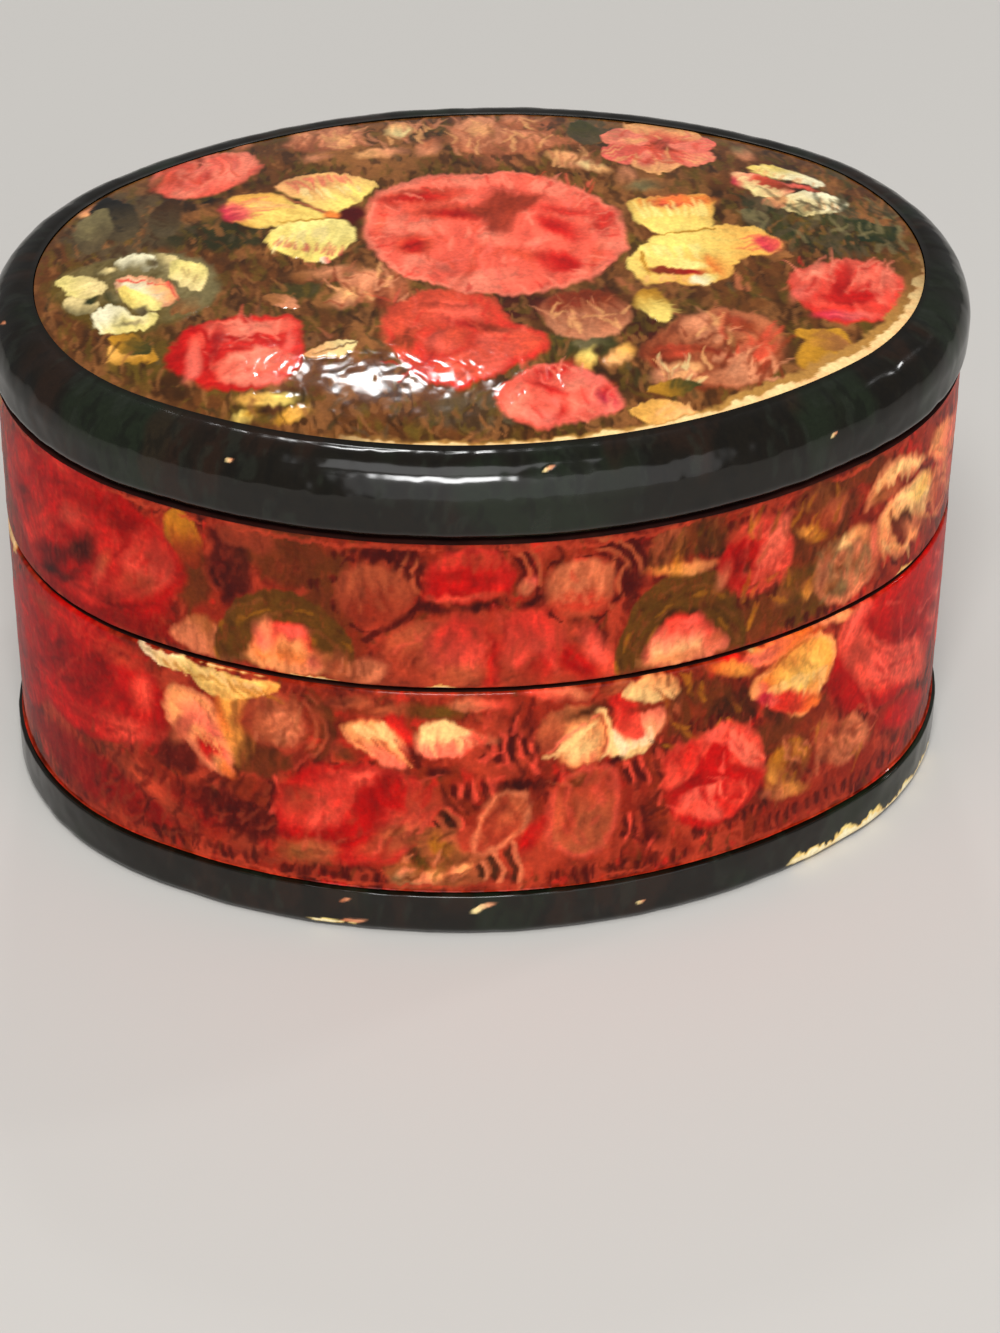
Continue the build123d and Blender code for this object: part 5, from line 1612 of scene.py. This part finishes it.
def field_piece(name, materials):
    """The lid's crowned field, down to its flange under the rim and its flat underside."""
    line = np.linspace(-1, 1, field_count + 1)
    a, b = (grid.ravel() for grid in np.meshgrid(line, line))
    wide = np.abs(a) > np.abs(b)
    reach = np.where(wide, a, b)
    over = np.where(reach == 0, 1, reach)
    turn = np.where(wide, np.pi / 4 * b / over, np.pi / 2 - np.pi / 4 * a / over)
    turn = (turn + np.where(reach < 0, np.pi, 0)) % (2 * np.pi)
    along = girth * (turn / (2 * np.pi) + 0.25)
    x, y = oval_points(along, field_inset)
    x, y = x * np.abs(reach), y * np.abs(reach)
    canvas = Canvas(x, y, "brown", field_seed)
    paint_field(canvas)
    crown = board_high[2] - rim_high[2]
    radius = (crown_shoulder ** 2 + crown ** 2) / (2 * crown)
    beyond = np.clip(crown_shoulder - (depth_inside(x, y) - field_inset), 0, crown_shoulder)
    z = board_high[2] - radius + np.sqrt(radius ** 2 - beyond ** 2)
    z -= lumps(x, y, field_seed + lump_seed) + coat_depth - canvas.relief

    side = field_count + 1
    index = np.arange(side * side).reshape(side, side)
    grid = np.stack([index[:-1, :-1], index[:-1, 1:], index[1:, 1:], index[1:, :-1]], -1)
    edge = np.flatnonzero(np.abs(reach) > 1 - tiny)
    edge = edge[np.argsort(along[edge])]
    low, step = board_low[2], board_low[2] + flange_thickness
    levels = ((moulding_seat + glue_line, low), (moulding_seat + glue_line, step),
              (field_inset, step))
    points = [np.stack([x, y, z], -1)]
    rings = []
    for inset, level in levels:
        rings.append(len(x) + len(edge) * len(rings) + np.arange(len(edge)))
        ring_x, ring_y = oval_points(along[edge], inset)
        points.append(np.stack([ring_x, ring_y, np.full(len(edge), level)], -1))
    rings.append(edge)
    bands = np.concatenate([band(rings[k], rings[k + 1]) for k in range(len(levels))])
    under = rings[0][::-1][None, :]
    points = np.concatenate(points)
    colours = np.tile(PAINT["black"], (len(points), 1))
    colours[:len(x)] = canvas.colour
    inner = np.concatenate([np.zeros(field_count ** 2), np.ones(len(bands) + 1)])
    return make_piece(name, points, [grid.reshape(-1, 4), bands, under], materials, colours, inner)


# Materials

def new_material(name, roughness, coat, coat_roughness, specular=0.0):
    """A Principled material with its constants set, and the tools to link its detail."""
    material = bpy.data.materials.new(name)
    material.use_nodes = True
    nodes, links = material.node_tree.nodes, material.node_tree.links
    shader = nodes["Principled BSDF"]
    shader.inputs["Roughness"].default_value = roughness
    shader.inputs["Coat Weight"].default_value = coat
    shader.inputs["Coat Roughness"].default_value = coat_roughness
    shader.inputs["Specular IOR Level"].default_value = specular
    place = nodes.new("ShaderNodeTexCoord")
    return material, nodes, links, shader, place


def noise_node(nodes, links, place, size, detail=3.0, stretch=(1, 1, 1)):
    """Noise of about that size in millimetres, in the object's own space."""
    mapping = nodes.new("ShaderNodeMapping")
    mapping.inputs["Scale"].default_value = stretch
    links.new(place.outputs["Object"], mapping.inputs["Vector"])
    texture = nodes.new("ShaderNodeTexNoise")
    texture.inputs["Scale"].default_value = 1 / (size * MILLIMETRE)
    texture.inputs["Detail"].default_value = detail
    links.new(mapping.outputs["Vector"], texture.inputs["Vector"])
    return texture


def map_range(nodes, links, value, low, high):
    """The middle of a noise's values, brought into a range."""
    node = nodes.new("ShaderNodeMapRange")
    node.inputs["From Min"].default_value = 0.3
    node.inputs["From Max"].default_value = 0.7
    node.inputs["To Min"].default_value = low
    node.inputs["To Max"].default_value = high
    links.new(value, node.inputs["Value"])
    return node.outputs["Result"]


def add_bump(nodes, links, shader, height, distance, strength):
    """Fine unevenness of a surface, a given number of millimetres deep."""
    bump = nodes.new("ShaderNodeBump")
    bump.inputs["Distance"].default_value = distance * MILLIMETRE
    bump.inputs["Strength"].default_value = strength
    links.new(height, bump.inputs["Height"])
    links.new(bump.outputs["Normal"], shader.inputs["Normal"])


def painted_material(name, coat, roughness=(0.36, 0.5), coat_roughness=0.09, wave=0.02):
    """Paint under lacquer. Its colours come from the mesh, with fine grain laid over them."""
    material, nodes, links, shader, place = new_material(
        name, roughness=0.42, coat=coat, coat_roughness=coat_roughness)
    paint = nodes.new("ShaderNodeAttribute")
    paint.attribute_name = "paint"
    grain = noise_node(nodes, links, place, size=0.22, detail=4.0)
    shade = map_range(nodes, links, grain.outputs["Fac"], low=0.86, high=1.12)
    mix = nodes.new("ShaderNodeVectorMath")
    mix.operation = "SCALE"
    links.new(paint.outputs["Color"], mix.inputs[0])
    links.new(shade, mix.inputs["Scale"])
    links.new(mix.outputs["Vector"], shader.inputs["Base Color"])
    patch = noise_node(nodes, links, place, size=1.6)
    links.new(map_range(nodes, links, patch.outputs["Fac"], *roughness), shader.inputs["Roughness"])
    ripple = noise_node(nodes, links, place, size=0.9, detail=2.0)
    add_bump(nodes, links, shader, ripple.outputs["Fac"], distance=wave, strength=1.0)
    return material


def inner_material(name):
    """Thin dark lacquer on bare paper board, satin, with brush marks."""
    material, nodes, links, shader, place = new_material(
        name, roughness=0.45, coat=0.35, coat_roughness=0.3, specular=0.3)
    ramp = nodes.new("ShaderNodeValToRGB")
    ramp.color_ramp.elements[0].position = 0.35
    ramp.color_ramp.elements[0].color = (*srgb(34, 14, 12), 1)
    ramp.color_ramp.elements[1].position = 0.7
    ramp.color_ramp.elements[1].color = (*srgb(58, 24, 18), 1)
    cloud = noise_node(nodes, links, place, size=3.0, detail=4.0)
    links.new(cloud.outputs["Fac"], ramp.inputs["Fac"])
    links.new(ramp.outputs["Color"], shader.inputs["Base Color"])
    brush = noise_node(nodes, links, place, size=0.5, stretch=(1, 1, 0.15))
    satin = map_range(nodes, links, brush.outputs["Fac"], low=0.38, high=0.55)
    links.new(satin, shader.inputs["Roughness"])
    add_bump(nodes, links, shader, brush.outputs["Fac"], distance=0.03, strength=0.8)
    return material


wall_paint = painted_material("painted_wall", coat=0.3)
field_paint = painted_material("painted_field", coat=0.75)
black_lacquer = painted_material("black_lacquer", coat=0.75, roughness=(0.2, 0.34),
                                 coat_roughness=0.13, wave=0.05)
inner_lacquer = inner_material("inner_lacquer")

# Pieces

pieces = (
    (wall_piece("painted_base_wall", base_low[2], base_high[2], True, paint_base_wall, base_wall_seed,
                [wall_paint, inner_lacquer]), "base", "base_wall", "painted_wall"),
    (foot_piece("black_foot", black_lacquer), "base", "foot_moulding", "black_lacquer"),
    (wall_piece("painted_lid_wall", lid_low[2], lid_high[2], False, paint_lid_wall, lid_wall_seed,
                [wall_paint, inner_lacquer]), "lid", "lid_wall", "painted_wall"),
    (field_piece("painted_lid_field", [field_paint, inner_lacquer]), "lid", "lid_board",
     "painted_field"),
    (rim_piece("black_rim", black_lacquer), "lid", "rim_moulding", "black_lacquer"),
)
for piece, body, node, slot in pieces:
    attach(piece, body)
    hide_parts(node)
for node, material in (("collar", inner_lacquer), ("base_board", inner_lacquer)):
    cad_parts[node].material_slots[0].material = material

# Floor, light and camera

floor_mesh = bpy.data.meshes.new("floor")
floor_reach = 3.0
floor_mesh.from_pydata([(-floor_reach, -floor_reach, 0), (floor_reach, -floor_reach, 0),
                        (floor_reach, floor_reach, 0), (-floor_reach, floor_reach, 0)], [],
                       [(0, 1, 2, 3)])
floor = bpy.data.objects.new("floor", floor_mesh)
bpy.context.scene.collection.objects.link(floor)
floor_material = bpy.data.materials.new("floor")
floor_material.use_nodes = True
floor_shader = floor_material.node_tree.nodes["Principled BSDF"]
floor_shader.inputs["Base Color"].default_value = (*srgb(200, 197, 192), 1)
floor_shader.inputs["Roughness"].default_value = 0.9
floor_mesh.materials.append(floor_material)

# Where the lamps point, in metres
box_middle = (0, 0, 0.015)


def facing(place, target):
    """A matrix at a place, looking at a target along its own -Z."""
    back = (Vector(place) - Vector(target)).normalized()
    return Matrix.Translation(place) @ back.to_track_quat("Z", "Y").to_matrix().to_4x4()


def soft_light(name, azimuth, elevation, distance, size, brightness):
    """A soft light that faces the box. Its brightness is that of its own surface."""
    level = np.cos(radians(elevation)) * distance
    place = (np.sin(radians(azimuth)) * level, -np.cos(radians(azimuth)) * level,
             np.sin(radians(elevation)) * distance)
    lamp = bpy.data.lights.new(name, "AREA")
    lamp.shape = "RECTANGLE"
    lamp.size, lamp.size_y = size
    lamp.energy = brightness * np.pi * size[0] * size[1]
    light = bpy.data.objects.new(name, lamp)
    light.matrix_world = facing(place, box_middle)
    bpy.context.scene.collection.objects.link(light)


# Each lamp's name, azimuth and elevation in degrees, distance and size in metres, and brightness
for lamp_row in (
        ("main", -8, 54, 1.0, (0.3, 0.2), 36.0),
        ("top", -20, 78, 1.2, (0.5, 0.5), 2.6),
        ("front", 10, 20, 1.2, (1.5, 1.5), 1.1),
        ("behind", 178, 46, 0.8, (0.05, 0.05), 40.0),
        ("right", 112, 43, 0.8, (0.05, 0.05), 40.0)):
    soft_light(*lamp_row)

room_grey = 0.24
world = bpy.data.worlds.new("room")
bpy.context.scene.world = world
world.use_nodes = True
background = world.node_tree.nodes["Background"]
background.inputs["Color"].default_value = (room_grey, room_grey, room_grey, 1)

# The camera that took the photograph: angles in radians, lengths in millimetres
camera_azimuth = -0.1064
camera_elevation = 0.6453
camera_roll = 0.0094
camera_distance = 221.69
camera_aim = np.array((1.18, 0.0, 3.51))
camera_lens = 106.06
sensor_height = 36.0
nearest_seen = 10.0
c, s = np.cos(camera_azimuth), np.sin(camera_azimuth)
level, height = np.cos(camera_elevation), np.sin(camera_elevation)
back = np.array((s * level, -c * level, height))
right = np.array((c, s, 0))
up = np.cross(back, right)
right, up = (right * np.cos(camera_roll) + up * np.sin(camera_roll),
             up * np.cos(camera_roll) - right * np.sin(camera_roll))
place = (camera_aim + back * camera_distance) * MILLIMETRE
lens = bpy.data.cameras.new("camera")
lens.sensor_fit = "VERTICAL"
lens.sensor_height = sensor_height
lens.lens = camera_lens
lens.clip_start = nearest_seen * MILLIMETRE
camera = bpy.data.objects.new("camera", lens)
camera.matrix_world = Matrix(np.column_stack([np.append(right, 0), np.append(up, 0),
                                              np.append(back, 0), np.append(place, 1)]).tolist())
bpy.context.scene.collection.objects.link(camera)
bpy.context.scene.camera = camera
bpy.context.scene.view_settings.view_transform = "Standard"
